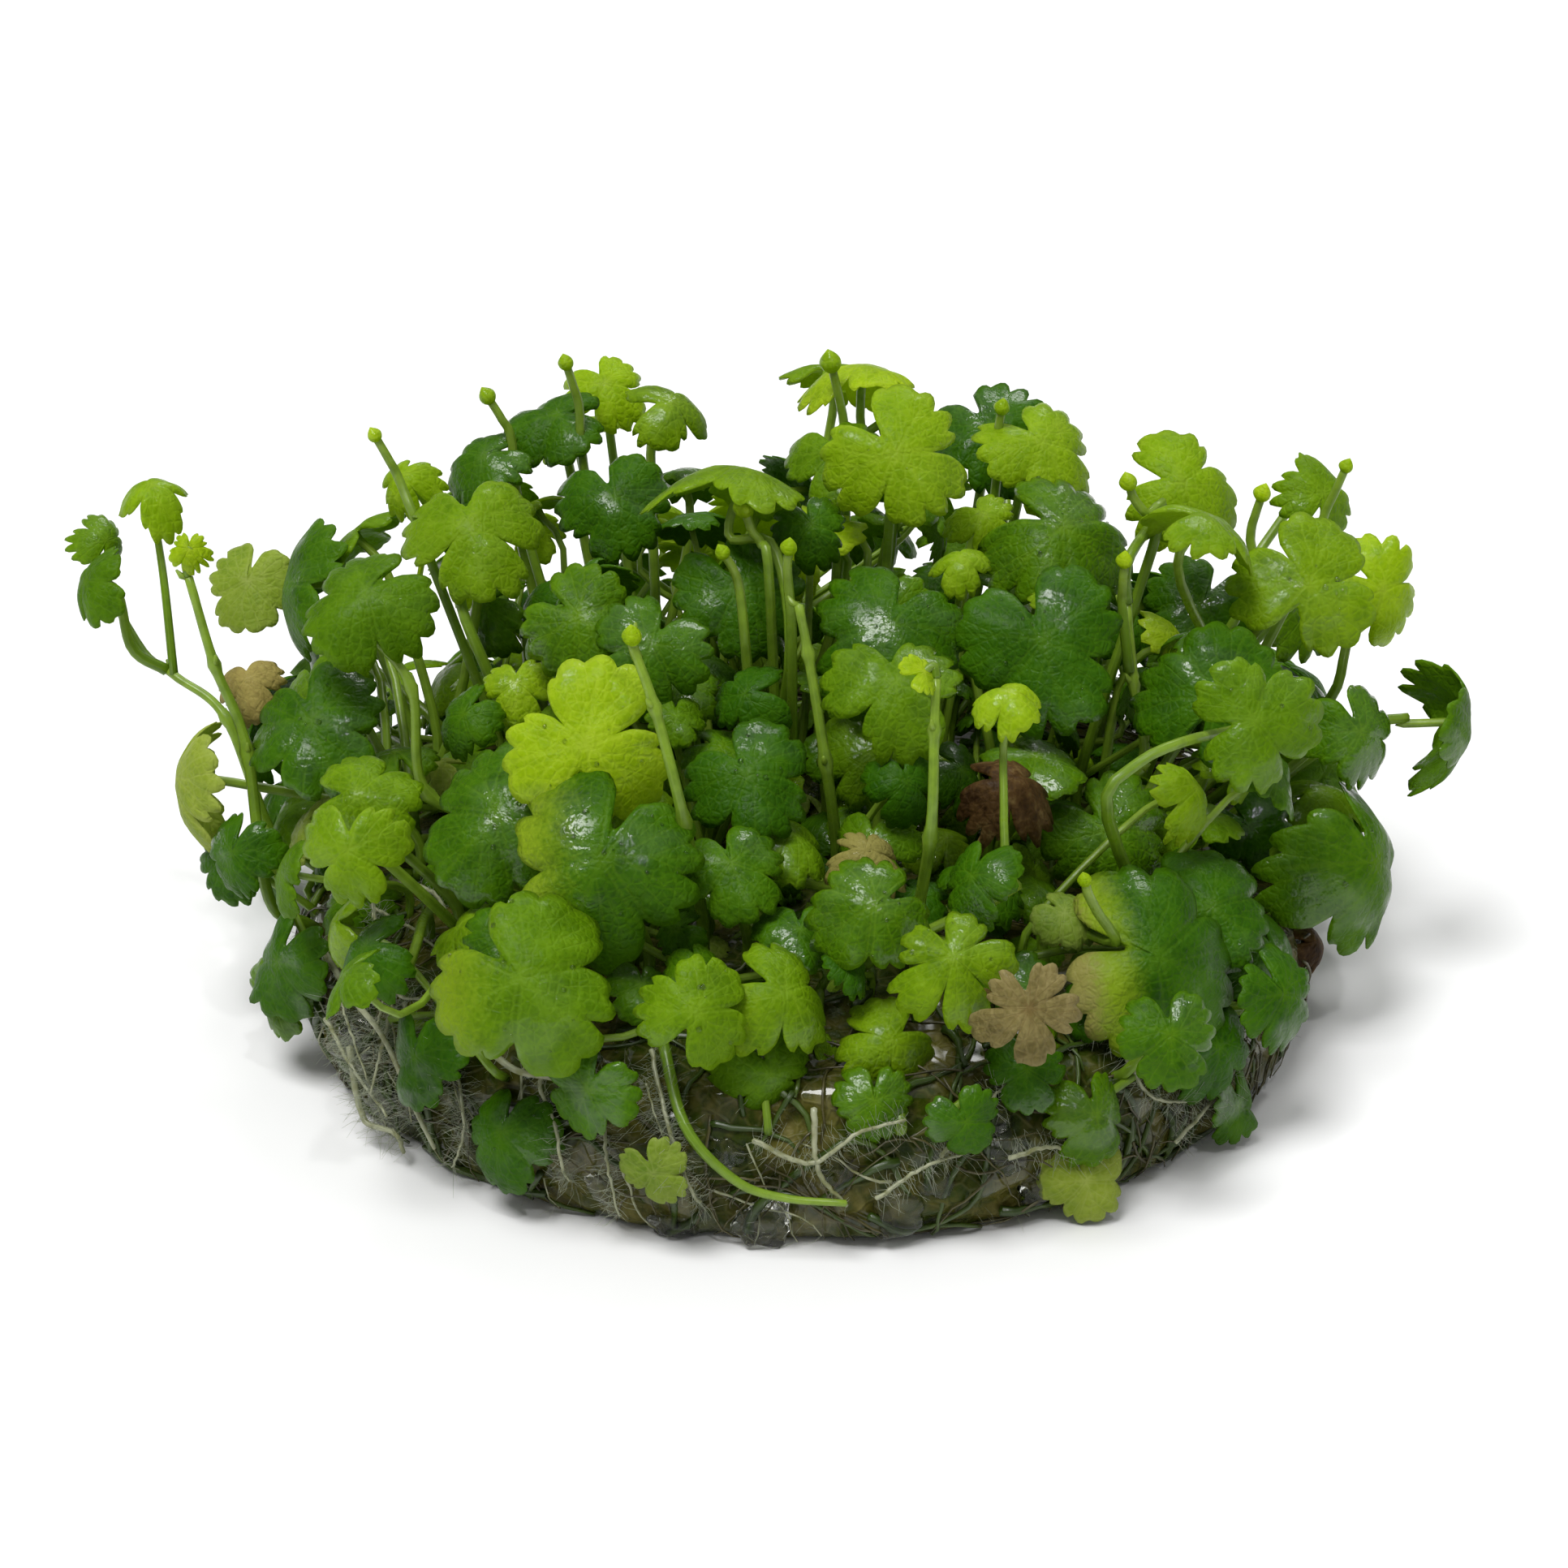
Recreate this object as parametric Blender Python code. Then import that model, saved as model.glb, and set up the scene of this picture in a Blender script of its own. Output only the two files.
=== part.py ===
# A clump of tissue culture pennywort, lifted out of its cup: a round mat of roots and gel with
# lobed leaves on thin stalks. Metres in Blender, millimetres in the sizes below. +Z is up, the
# photographed side faces -Y, and the origin is the middle of the flat underside of the mat.
import itertools
import math
from collections import namedtuple

import bmesh
import bpy
from mathutils import Matrix, Vector, noise
from mathutils.bvhtree import BVHTree

MM = 0.001

# The mat is moulded by the cup that the clump grew in.
MAT_RADIUS = 30.5
MAT_HEIGHT = 10.0
MAT_FOOT_RADIUS = 29.3
MAT_LUMP = 1.0
MAT_STEPS = 30

# How far the leaves spread, and how high the highest leaf stands.
CLUMP_RADIUS = 44.0
CLUMP_HEIGHT = 41.0

# The thin pieces.
BLADE_THICKNESS = 0.5
PETIOLE_RADIUS = 0.42
STEM_RADIUS = 0.52
ROOT_RADIUS = 0.32

# The gap that a stalk keeps to what it grows from, and the least gap between neighbours.
SEAT_GAP = 0.3
LEAF_GAP = 0.15

# Leaf and stem places are read as somebody sees the clump from the front: across and up are
# millimetres in a picture plane through the middle of the mat, and deep is how far behind the
# middle a point lies. The eye looks down by LOOK_DOWN from EYE_DISTANCE.
LOOK_DOWN = math.radians(26.0)
EYE_DISTANCE = 250.0
READ_RADIUS = 44.0
READ_HEIGHT = 41.0

TONES = {
    "young": (0.42, 0.60, 0.03),
    "fresh": (0.16, 0.36, 0.03),
    "mature": (0.04, 0.15, 0.03),
    "pale": (0.36, 0.42, 0.12),
    "tan": (0.42, 0.27, 0.11),
    "stem": (0.25, 0.38, 0.05),
    "root": (0.62, 0.60, 0.45),
    "mat": (0.22, 0.18, 0.09),
}

# One leaf. at is the top of its stalk as (across, up, deep); faces is (heading, lean) of its
# upper side in degrees, where lean 0 looks straight up and heading 0 leans to the front and 90
# to the right; spin turns the middle lobe from downhill towards the right of somebody who looks
# at the upper side. cup lets the edge droop, fold bends the two halves down along the midrib.
# Leaves with the same name are a tuft: they leave the mat at one place and are one solid.
Leaf = namedtuple("Leaf", "name at radius faces spin tone cup fold stem via lobes", defaults=(
    0.30, 0.0, None, (), 3))

# A stem rises from the mat through these points and swells where stalks leave it.
STEMS = {
    "stem_far_left": ((-31.5, 11.0, 1), (-35.6, 16.6, 4), (-38.8, 19.2, 6)),
    "stem_left": ((-31.5, 8.5, -7), (-34.4, 15.3, -4), (-36.3, 20.2, -3), (-37.8, 25.3, -2)),
    "stem_left_hook": ((-23.2, 8.0, -9), (-23.4, 12.7, -8), (-24.2, 19.0, -7), (-26.6, 22.4, -6)),
    "stem_budded": ((-8.0, 3.4, -22), (-7.6, 12.0, -21), (-9.3, 18.6, -19.5), (-10.7, 22.6, -18.5)),
    "stem_middle": ((2.2, 8.0, -13), (1.2, 15.1, -11), (0.2, 21.3, -9), (-0.3, 23.9, -8.5)),
    "stem_right_tall": ((21.5, 8.0, -7), (20.8, 14.2, -5), (20.3, 19.2, -4), (19.9, 23.6, -3)),
    "stem_sprout": ((8.7, 3.4, -23.5), (7.7, 11.0, -21.5), (7.9, 17.2, -20), (8.0, 19.9, -19)),
}

# A runner and roots hang over the front of the mat and keep just off it: (across, up).
TRAILS = {
    "runner_front": ((-8.8, -3.2), (-7.2, -6.9), (-4.2, -9.5), (-1.1, -10.7), (2.6, -11.0)),
    "root_left": ((-29.2, 3.0), (-27.0, 0.0), (-25.0, -2.8), (-23.0, -5.8), (-21.9, -8.3)),
    "root_hoop": ((-19.6, -2.4), (-17.5, -3.9), (-15.5, -4.4), (-12.8, -4.6), (-10.2, -4.3)),
}

LEAVES = [
    # The left side.
    Leaf("leaf_far_left", (-44.2, 25.1, 6), 3.0, (-60, 62), 60, "fresh", 0.25, 0.2,
         "stem_far_left", ((-41.4, 20.9, 6),)),
    Leaf("leaf_left_cap", (-40.2, 31.0, 9), 2.4, (0, 12), 30, "young", 0.50, 0.0,
         "stem_far_left", ((-39.4, 24.9, 8),)),
    Leaf("leaf_left_edge_on", (-31.9, 24.6, 10), 4.8, (-84, 76), 176, "mature", 0.12, 0.1),
    Leaf("leaf_left_tent", (-27.0, 25.1, -6), 4.3, (-10, 38), -38, "fresh", 0.30, 0.2,
         "stem_left_hook"),
    Leaf("leaf_left_gold", (-20.6, 29.0, 1), 4.6, (0, 44), 12, "young", 0.34, 0.3,
         None, ((-21.2, 24.3, 0), (-19.2, 19.0, -1))),
    Leaf("leaf_left_rolled", (-38.6, 13.4, -5), 4.4, (-82, 78), 0, "pale", 0.10, 0.6),
    Leaf("leaf_left_broad", (-30.4, 17.2, -5), 5.0, (-15, 42), 30, "mature", 0.22, 0.0),
    Leaf("leaves_left_low", (-27.6, 13.1, -17), 3.5, (0, 44), 84, "fresh", 0.38, 0.2),
    Leaf("leaves_left_low", (-28.2, 10.0, -21), 3.5, (-10, 66), 6, "young", 0.20, 0.1),
    Leaf("leaves_left_foot", (-32.4, 2.2, -17), 3.9, (-50, 78), -10, "mature", 0.15, 0.1),
    Leaf("leaves_left_foot", (-35.2, 9.0, -12), 2.8, (-40, 66), 0, "mature", 0.25, 0.0),
    # The front, from the left to the right.
    Leaf("leaf_front_shade", (-19.0, 11.8, -18), 5.4, (-15, 50), -36, "mature", 0.25, 0.0),
    Leaf("leaf_front_broad", (-12.6, 9.6, -24), 6.0, (0, 58), -22, "mature", 0.20, 0.1),
    Leaf("leaf_front_drooping", (-17.6, 2.4, -28), 5.8, (-4, 54), 50, "fresh", 0.18, 0.1),
    Leaf("leaf_foot_round", (-18.7, -7.6, -27.5), 3.4, (-30, 60), 0, "mature", 0.30, 0.0),
    Leaf("leaf_front_gold", (-13.6, 16.3, -23), 5.2, (3, 58), 168, "young", 0.16, 0.0),
    Leaf("leaf_front_crown", (-6.9, 0.3, -31), 3.5, (8, 56), 150, "fresh", 0.30, 0.0),
    Leaf("leaf_front_curled", (-1.4, 1.4, -28.5), 3.8, (30, 46), 40, "young", 0.30, 0.4),
    Leaf("leaf_front_middle", (4.2, 6.6, -25), 3.7, (4, 48), -64, "mature", 0.28, 0.0),
    Leaf("leaf_middle_shade", (-3.6, 14.3, -16), 4.2, (0, 46), 34, "mature", 0.25, 0.0),
    Leaf("leaf_front_cross", (9.0, 3.6, -29), 3.9, (6, 46), 16, "fresh", 0.26, 0.0,
         None, (), 5),
    Leaf("leaf_front_tan", (13.7, 0.6, -30.5), 3.4, (4, 64), 10, "tan", 0.20, 0.0,
         None, (), 5),
    Leaf("leaf_front_two_tone", (21.6, 3.2, -23), 6.0, (14, 56), 66, "fresh", 0.20, 0.1),
    Leaf("leaf_foot_right", (17.8, -6.4, -28), 3.0, (28, 64), 0, "mature", 0.30, 0.0),
    Leaf("leaf_right_foot", (29.2, 2.4, -14), 4.4, (58, 70), 10, "mature", 0.20, 0.1),
    Leaf("leaf_right_low", (25.4, -2.6, -22), 3.4, (40, 66), -20, "mature", 0.25, 0.0),
    # The right side.
    Leaf("leaf_right_folded", (35.2, 8.2, -8), 5.8, (52, 70), 4, "mature", 0.16, 0.5,
         None, ((32.9, 8.6, -8), (29.0, 8.9, -8))),
    Leaf("leaf_far_right", (40.9, 16.5, 2), 4.4, (90, 88), 5, "mature", 0.16, 0.1,
         None, ((37.0, 16.7, 2), (33.2, 15.7, 1))),
    Leaf("leaf_right_star", (27.6, 17.6, -15), 4.4, (10, 58), 96, "fresh", 0.14, 0.0,
         None, ((23.2, 16.3, -16), (20.4, 15.0, -17.5), (18.5, 12.3, -18.5))),
    Leaf("leaf_right_middle", (25.2, 18.4, -8), 4.8, (6, 58), 150, "mature", 0.20, 0.0),
    Leaf("leaf_right_upper", (31.0, 25.2, 0), 5.2, (10, 54), 150, "fresh", 0.22, 0.0),
    Leaf("leaf_right_edge", (35.6, 24.6, 6), 3.7, (24, 62), 40, "young", 0.20, 0.0,
         None, ((33.3, 20.5, 5), (31.8, 17.0, 4))),
    Leaf("leaf_right_top", (23.2, 31.4, 5), 4.2, (12, 46), 66, "young", 0.34, 0.0,
         "stem_right_tall"),
    # The crown.
    Leaf("leaf_top_gold", (5.6, 33.3, 4), 4.9, (0, 56), 40, "young", 0.10, 0.3),
    Leaf("leaf_gloss_upper", (16.0, 28.6, 4), 5.2, (14, 40), 50, "mature", 0.26, 0.0),
    Leaf("leaf_gloss_lower", (14.6, 22.2, -7), 5.6, (4, 54), 14, "mature", 0.20, 0.0),
    Leaf("leaf_centre_broad", (5.2, 23.0, -6), 5.4, (0, 44), -24, "mature", 0.20, 0.0),
    Leaf("leaf_gold_bud", (12.5, 19.6, -18.5), 2.2, (10, 14), 20, "young", 0.62, 0.0,
         None, ((12.2, 12.0, -19.5), (12.0, 7.5, -21))),
    Leaf("leaf_top_underside", (-3.6, 32.3, 3), 5.4, (150, 30), 118, "fresh", 0.22, 0.1,
         None, ((-1.9, 27.6, 0), (-0.9, 20.5, -3))),
    Leaf("leaf_top_arch", (3.6, 38.2, 15), 4.0, (180, 16), 98, "young", 0.30, 0.2,
         None, ((5.0, 34.1, 14), (5.4, 27.0, 12))),
    Leaf("leaves_top_left", (-15.2, 35.0, 17), 3.6, (-20, 24), -60, "mature", 0.26, 0.0),
    Leaf("leaves_top_left", (-12.2, 36.8, 20), 3.0, (0, 40), 30, "young", 0.30, 0.0),
    Leaf("leaves_top_left", (-8.2, 35.9, 16), 3.2, (40, 30), 70, "fresh", 0.26, 0.2),
    Leaf("leaves_upper_left", (-19.6, 32.6, 13), 3.3, (-30, 36), -40, "mature", 0.26, 0.0),
    Leaf("leaves_upper_left", (-11.7, 30.2, 10), 4.0, (0, 44), 20, "mature", 0.22, 0.0),
    Leaf("leaves_upper_right", (11.4, 34.3, 16), 4.4, (0, 40), 30, "mature", 0.22, 0.0),
    Leaf("leaves_upper_right", (14.6, 33.6, 12), 4.2, (20, 38), 20, "young", 0.26, 0.0),
    Leaf("leaves_back_right", (32.0, 30.1, 16), 3.2, (30, 56), 150, "fresh", 0.20, 0.3),
    Leaf("leaves_back_right", (24.6, 23.6, 8), 4.2, (0, 50), -30, "mature", 0.22, 0.0),
    Leaf("leaves_left_middle", (-14.0, 23.6, -6), 4.0, (-10, 48), 60, "mature", 0.22, 0.0),
    Leaf("leaves_left_middle", (-9.4, 22.0, -9), 4.0, (6, 50), -30, "mature", 0.22, 0.0),
    Leaf("leaves_middle", (-4.0, 25.0, -1), 4.4, (0, 48), 30, "mature", 0.22, 0.0),
    Leaf("leaves_middle", (0.4, 29.0, 3), 3.6, (0, 50), 20, "mature", 0.26, 0.0),
]

# The side that the front view hides: tufts of three leaves, round the back from the right.
# reach is how far out a leaf stands, in millimetres, and swing how far it keeps from its tuft's
# bearing in degrees.
Spray = namedtuple("Spray", "reach height radius lean swing tone")
BACK_SPRAY = (
    Spray(36.5, 12.5, 4.2, 66, -9, "mature"),
    Spray(27.0, 27.5, 4.0, 26, 2, "young"),
    Spray(33.5, 21.5, 4.2, 46, 12, "fresh"),
)
BACK_TUFTS = 5
BACK_FROM, BACK_TO = 16.0, 160.0

# Leaves from FINE_RADIUS get finer edges and rounder stalks, and those under PLAIN_RADIUS get
# blades without a middle ring.
FINE_RADIUS = 5.15
PLAIN_RADIUS = 4.3

# What the settling may try: how far a leaf moves away from the eye or nearer to it, and how far
# the foot of its stalk moves round the mat.
DEEPER = (0, 1, -1, 2, -2, 3, -3, 4, -4, 5.5, -5.5, 7, -7)
FOOT_TURNS = (0, 14, -14, 30, -30, 50, -50)
JOINTS = (0, 1, 2, 3)
SHRINKS = (1.0, 0.85, 0.7)


def clear_scene():
    for obj in list(bpy.data.objects):
        bpy.data.objects.remove(obj, do_unlink=True)


def collection(name):
    made = bpy.data.collections.new(name)
    bpy.context.scene.collection.children.link(made)
    return made


def material(tone):
    """The plain finish of one kind of piece."""
    found = bpy.data.materials.get(tone)
    if found:
        return found
    made = bpy.data.materials.new(tone)
    made.use_nodes = True
    shader = made.node_tree.nodes["Principled BSDF"]
    shader.inputs["Base Color"].default_value = (*TONES[tone], 1.0)
    shader.inputs["Roughness"].default_value = 0.45
    return made


def seen(across, up, deep):
    """The point, in millimetres, that shows at (across, up) and lies deep behind the middle."""
    up_way = Vector((0, math.sin(LOOK_DOWN), math.cos(LOOK_DOWN)))
    eye = EYE_DISTANCE * Vector((0, -math.cos(LOOK_DOWN), math.sin(LOOK_DOWN)))
    on_plane = across * Vector((1, 0, 0)) + up * up_way
    ray = on_plane - eye
    point = eye + ray * ((deep - eye.y) / ray.y)
    wide, high = CLUMP_RADIUS / READ_RADIUS, CLUMP_HEIGHT / READ_HEIGHT
    return Vector((point.x * wide, point.y * wide, point.z * high))


def smooth_path(points, count):
    """count points along a smooth curve through the given ones."""
    ends = [2 * points[0] - points[1], *points, 2 * points[-1] - points[-2]]
    path = []
    for i in range(count):
        at = i / (count - 1) * (len(points) - 1)
        k = min(int(at), len(points) - 2)
        t = at - k
        a, b, c, d = ends[k:k + 4]
        path.append(0.5 * (2 * b + (c - a) * t + (2 * a - 5 * b + 4 * c - d) * t ** 2
                           + (3 * b - a - 3 * c + d) * t ** 3))
    return path


def mesh_object(name, bm, tone, home):
    mesh = bpy.data.meshes.new(name)
    bm.to_mesh(mesh)
    bm.free()
    mesh.materials.append(material(tone))
    obj = bpy.data.objects.new(name, mesh)
    home.objects.link(obj)
    return obj


def shade(obj):
    obj.data.shade_smooth()
    obj.data.set_sharp_from_angle(angle=math.radians(40))


def lathe(profile, steps):
    """A closed solid turned about Z from (radius, height) pairs in millimetres."""
    bm = bmesh.new()
    verts = [bm.verts.new((r * MM, 0, z * MM)) for r, z in profile]
    edges = [bm.edges.new(pair) for pair in zip(verts, verts[1:])]
    bmesh.ops.spin(bm, geom=verts + edges, axis=(0, 0, 1), cent=(0, 0, 0),
                   angle=math.tau, steps=steps, use_duplicate=False)
    bmesh.ops.remove_doubles(bm, verts=bm.verts, dist=1e-6)
    bmesh.ops.recalc_face_normals(bm, faces=bm.faces)
    return bm


def mat_profile():
    """Half the mat's section, from the middle of its flat underside round to the top."""
    r, h, foot = MAT_RADIUS, MAT_HEIGHT, min(MAT_FOOT_RADIUS, MAT_RADIUS - 0.5)
    return ((0, 0), (foot, 0), ((foot + r) / 2, 0.09 * h), (r, 0.34 * h), (r - 0.2, 0.64 * h),
            (r - 1.9, 0.91 * h), (0.74 * r, 1.02 * h), (0.40 * r, 1.07 * h), (0, 1.05 * h))


def build_mat(home):
    """The matted roots and gel: flat below, rounded by the cup, lumpy above and round the side."""
    bm = lathe(mat_profile(), MAT_STEPS)
    for vert in bm.verts:
        if vert.co.z < 1e-6:
            continue
        place = vert.co / MM
        out = Vector((place.x, place.y, 0))
        side = min(1.0, out.length / MAT_RADIUS)
        lump = MAT_LUMP * (noise.noise(place * 0.16) + 0.5 * noise.noise(place * 0.4))
        away = out.normalized() * side if out.length > 1 else Vector((0, 0, 0))
        vert.co += (away + Vector((0, 0, 1.0 - 0.7 * side))) * lump * MM
    obj = mesh_object("root_mat", bm, "mat", home)
    shade(obj)
    return obj


def tube(name, path, radii, tone, home, sides):
    """A stalk, stem or root: a bevelled curve with filled caps, made one closed mesh."""
    curve = bpy.data.curves.new(name, "CURVE")
    curve.dimensions = "3D"
    curve.bevel_depth = MM
    curve.bevel_resolution = (sides - 4) // 2
    curve.use_fill_caps = True
    spline = curve.splines.new("POLY")
    spline.points.add(len(path) - 1)
    for point, place, radius in zip(spline.points, path, radii):
        point.co = (*(place * MM), 1.0)
        point.radius = radius
    guide = bpy.data.objects.new(name + "_line", curve)
    home.objects.link(guide)
    bpy.context.view_layer.update()
    made = bpy.data.meshes.new_from_object(
        guide.evaluated_get(bpy.context.evaluated_depsgraph_get()))
    bpy.data.objects.remove(guide)
    bm = bmesh.new()
    bm.from_mesh(made)
    bpy.data.meshes.remove(made)
    bmesh.ops.remove_doubles(bm, verts=bm.verts, dist=1e-7)
    bmesh.ops.recalc_face_normals(bm, faces=bm.faces)
    obj = mesh_object(name, bm, tone, home)
    shade(obj)
    return obj


def lobe_knots(leaf):
    """(angle, share of the leaf's radius) round the edge: blunt teeth round each lobe, a notch
    between one lobe and the next, and the stalk's cleft that closes the round."""
    if leaf.lobes == 3:
        centres, half, reach = (-112, 0, 112), 56, (0.92, 1.0, 0.92)
        teeth = ((-0.52, 0.88), (0.0, 1.0), (0.52, 0.88))
        if leaf.radius >= FINE_RADIUS:
            teeth = ((-0.64, 0.84), (-0.34, 0.92), (0.0, 1.0), (0.34, 0.92), (0.64, 0.84))
        notch = 0.58
    else:
        centres, half, reach = (-136, -68, 0, 68, 136), 34, (0.78, 0.94, 1.0, 0.94, 0.78)
        teeth = ((-0.42, 0.88), (0.0, 1.0), (0.42, 0.88))
        notch = 0.52
    knots = []
    for centre, share in zip(centres, reach):
        for place, length in teeth:
            knots.append((centre + place * half, share * length))
        if centre != centres[-1]:
            knots.append((centre + half, notch))
    knots.append((174, 0.30))
    knots.append((-174, 0.30))
    return sorted(knots)


def blade_axes(leaf):
    """The blade's frame: the middle lobe's way, the way to its side, and its upper side."""
    heading, lean = (math.radians(a) for a in leaf.faces)
    level = Vector((math.sin(heading), -math.cos(heading), 0))
    up = math.sin(lean) * level + math.cos(lean) * Vector((0, 0, 1))
    down = math.cos(lean) * level - math.sin(lean) * Vector((0, 0, 1))
    side = up.cross(down)
    turn = math.radians(leaf.spin)
    ahead = math.cos(turn) * down + math.sin(turn) * side
    return ahead, up.cross(ahead), up


def blade_point(leaf, angle, share, reach):
    """A point of the blade's middle surface in millimetres, from the top of its stalk. share
    runs from 0 at the stalk to 1 at the edge, which lies reach away."""
    ahead, side, up = blade_axes(leaf)
    out = reach * share * leaf.radius
    x, y = out * math.cos(angle), out * math.sin(angle)
    far = out / leaf.radius
    wave = 0.10 * math.sin(3 * angle + leaf.spin) * far ** 2
    rise = leaf.radius * (wave - leaf.cup * far ** 2) - leaf.fold * abs(y) * far
    return x * ahead + y * side + rise * up


def frame_at(path, k, radius):
    """The matrix that puts a ring of radius 1 across a path that leads down, at its point k."""
    before, after = path[max(k - 1, 0)], path[min(k + 1, len(path) - 1)]
    turned = Vector((0, 0, -1)).rotation_difference(after - before).to_matrix().to_4x4()
    return Matrix.Translation(path[k] * MM) @ turned @ Matrix.Scale(radius * MM, 4)


def edges_between(verts):
    inside = set(verts)
    return list({e for v in verts for e in v.link_edges if e.other_vert(v) in inside})


def leaf_solid(leaf, path, top, foot_size):
    """Blade and stalk as one closed skin: a polar disc is bent into the lobed blade, doubled
    and closed round its edge, and the stalk is drawn out of its underside to the foot, where
    it is foot_size times as thick."""
    knots = lobe_knots(leaf)
    rings = (0.0, 0.56, 1.0) if leaf.radius >= PLAIN_RADIUS else (0.0, 1.0)
    count = len(knots)
    bm = lathe([(share / MM, 0) for share in rings], count)
    for vert in bm.verts:
        share = vert.co.length
        index = round(math.atan2(vert.co.y, vert.co.x) / math.tau * count) % count
        angle, reach = knots[index]
        vert.co = (top + blade_point(leaf, math.radians(angle), share, reach)) * MM
    up = blade_axes(leaf)[2]
    bm.normal_update()
    if sum(face.normal.dot(up) for face in bm.faces) < 0:
        bmesh.ops.reverse_faces(bm, faces=bm.faces)
        bm.normal_update()
    half = BLADE_THICKNESS / 2 * MM
    away = {vert: vert.normal * half for vert in bm.verts}
    pole = min(bm.verts, key=lambda v: (v.co - top * MM).length)
    doubled = bmesh.ops.duplicate(bm, geom=bm.verts[:] + bm.edges[:] + bm.faces[:])
    below = {old: doubled["vert_map"][old] for old in away}
    for old, new in below.items():
        new.co = old.co - away[old]
        old.co = old.co + away[old]
    bmesh.ops.reverse_faces(bm, faces=[f for f in doubled["geom"]
                                       if isinstance(f, bmesh.types.BMFace)])
    bmesh.ops.bridge_loops(bm, edges=[e for e in bm.edges if e.is_boundary])
    around = [e.other_vert(below[pole]) for e in below[pole].link_edges]
    hole = edges_between(around)
    bmesh.ops.delete(bm, geom=[below[pole]], context="VERTS")
    hole = [e for e in hole if e.is_valid and e.is_boundary]
    line = [top - up * BLADE_THICKNESS / 2, *reversed(path[:-1])]
    radius = stalk_radius(leaf)
    sizes = [radius * (0.9 + 0.2 * k / (len(line) - 1)) for k in range(len(line))]
    sizes[-1] = radius * foot_size
    sides = 6 if leaf.radius >= FINE_RADIUS else 4
    matrix = frame_at(line, 0, sizes[0])
    ring = bmesh.ops.create_circle(bm, segments=sides, radius=1.0, matrix=matrix)["verts"]
    edges = edges_between(ring)
    bmesh.ops.bridge_loops(bm, edges=hole + edges)
    for k in range(1, len(line)):
        drawn = bmesh.ops.extrude_edge_only(bm, edges=edges)["geom"]
        ring = [part for part in drawn if isinstance(part, bmesh.types.BMVert)]
        edges = edges_between(ring)
        after = frame_at(line, k, sizes[k])
        bmesh.ops.transform(bm, matrix=after @ matrix.inverted(), verts=ring)
        matrix = after
    bmesh.ops.edgeloop_fill(bm, edges=edges)
    bmesh.ops.recalc_face_normals(bm, faces=bm.faces)
    return bm


def stalk_radius(leaf):
    """Small leaves have thinner stalks."""
    return PETIOLE_RADIUS * (0.75 if leaf.radius < 3 else 1.0)


def stalk_path(leaf, top, foot, out):
    """The stalk's line: it leaves its foot along out and meets the blade from below."""
    up = blade_axes(leaf)[2]
    span = (top - foot).length
    below = top - up * min(0.30 * span, 4.0)
    middle = [seen(*point) + (top - seen(*leaf.at)) for point in reversed(leaf.via)]
    rise = foot + out * min(0.22 * span, 4.0)
    points = [foot, *(middle or [rise]), below, top]
    return smooth_path(points, 4 + min(len(leaf.via), 2) + (leaf.radius >= FINE_RADIUS))


def thick_soup(path, radius, sheets):
    """(points, faces) that stand for a leaf in the overlap test: its stalk as a square tube of
    that radius and its blade as sheets."""
    points, faces = [], []
    for a, b in zip(path, path[1:]):
        way = (b - a).normalized()
        one = way.orthogonal().normalized() * radius
        two = way.cross(one)
        base = len(points)
        for end in (a, b):
            points += [end + one, end + two, end - one, end - two]
        for k in range(4):
            faces.append((base + k, base + (k + 1) % 4, base + 4 + (k + 1) % 4, base + 4 + k))
        faces.append((base + 4, base + 5, base + 6, base + 7))
    for sheet_points, sheet_faces in sheets:
        base = len(points)
        points += sheet_points
        faces += [tuple(base + k for k in face) for face in sheet_faces]
    return points, faces


def blade_sheets(leaf, top, half):
    """The blade's upper and lower face and its edge, half thick each way, as (points, faces)."""
    knots = lobe_knots(leaf)
    count = len(knots)
    up = blade_axes(leaf)[2]
    rings = (0.56, 1.0)
    grow = 1 + half / leaf.radius
    points, faces = [], []
    for side in (-half, half):
        base = len(points)
        points.append(top + up * side)
        for share in rings:
            for angle, reach in knots:
                place = blade_point(leaf, math.radians(angle), share * grow, reach)
                points.append(top + place + up * side)
        for k in range(count):
            n = (k + 1) % count
            faces.append((base, base + 1 + k, base + 1 + n))
            faces.append((base + 1 + k, base + 1 + count + k, base + 1 + count + n, base + 1 + n))
    for k in range(count):
        n = (k + 1) % count
        low = 1 + count
        high = low + 1 + 2 * count
        faces.append((low + k, low + n, high + n, high + k))
    return [(points, faces)]


def touches(soup, placed):
    tree = BVHTree.FromPolygons(*soup)
    return any(tree.overlap(other) for other in placed.values())


def tree_of(obj):
    """The overlap tree of an object's own mesh, in millimetres."""
    mesh = obj.data
    points = [obj.matrix_world @ v.co / MM for v in mesh.vertices]
    return BVHTree.FromPolygons(points, [tuple(p.vertices) for p in mesh.polygons])


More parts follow.
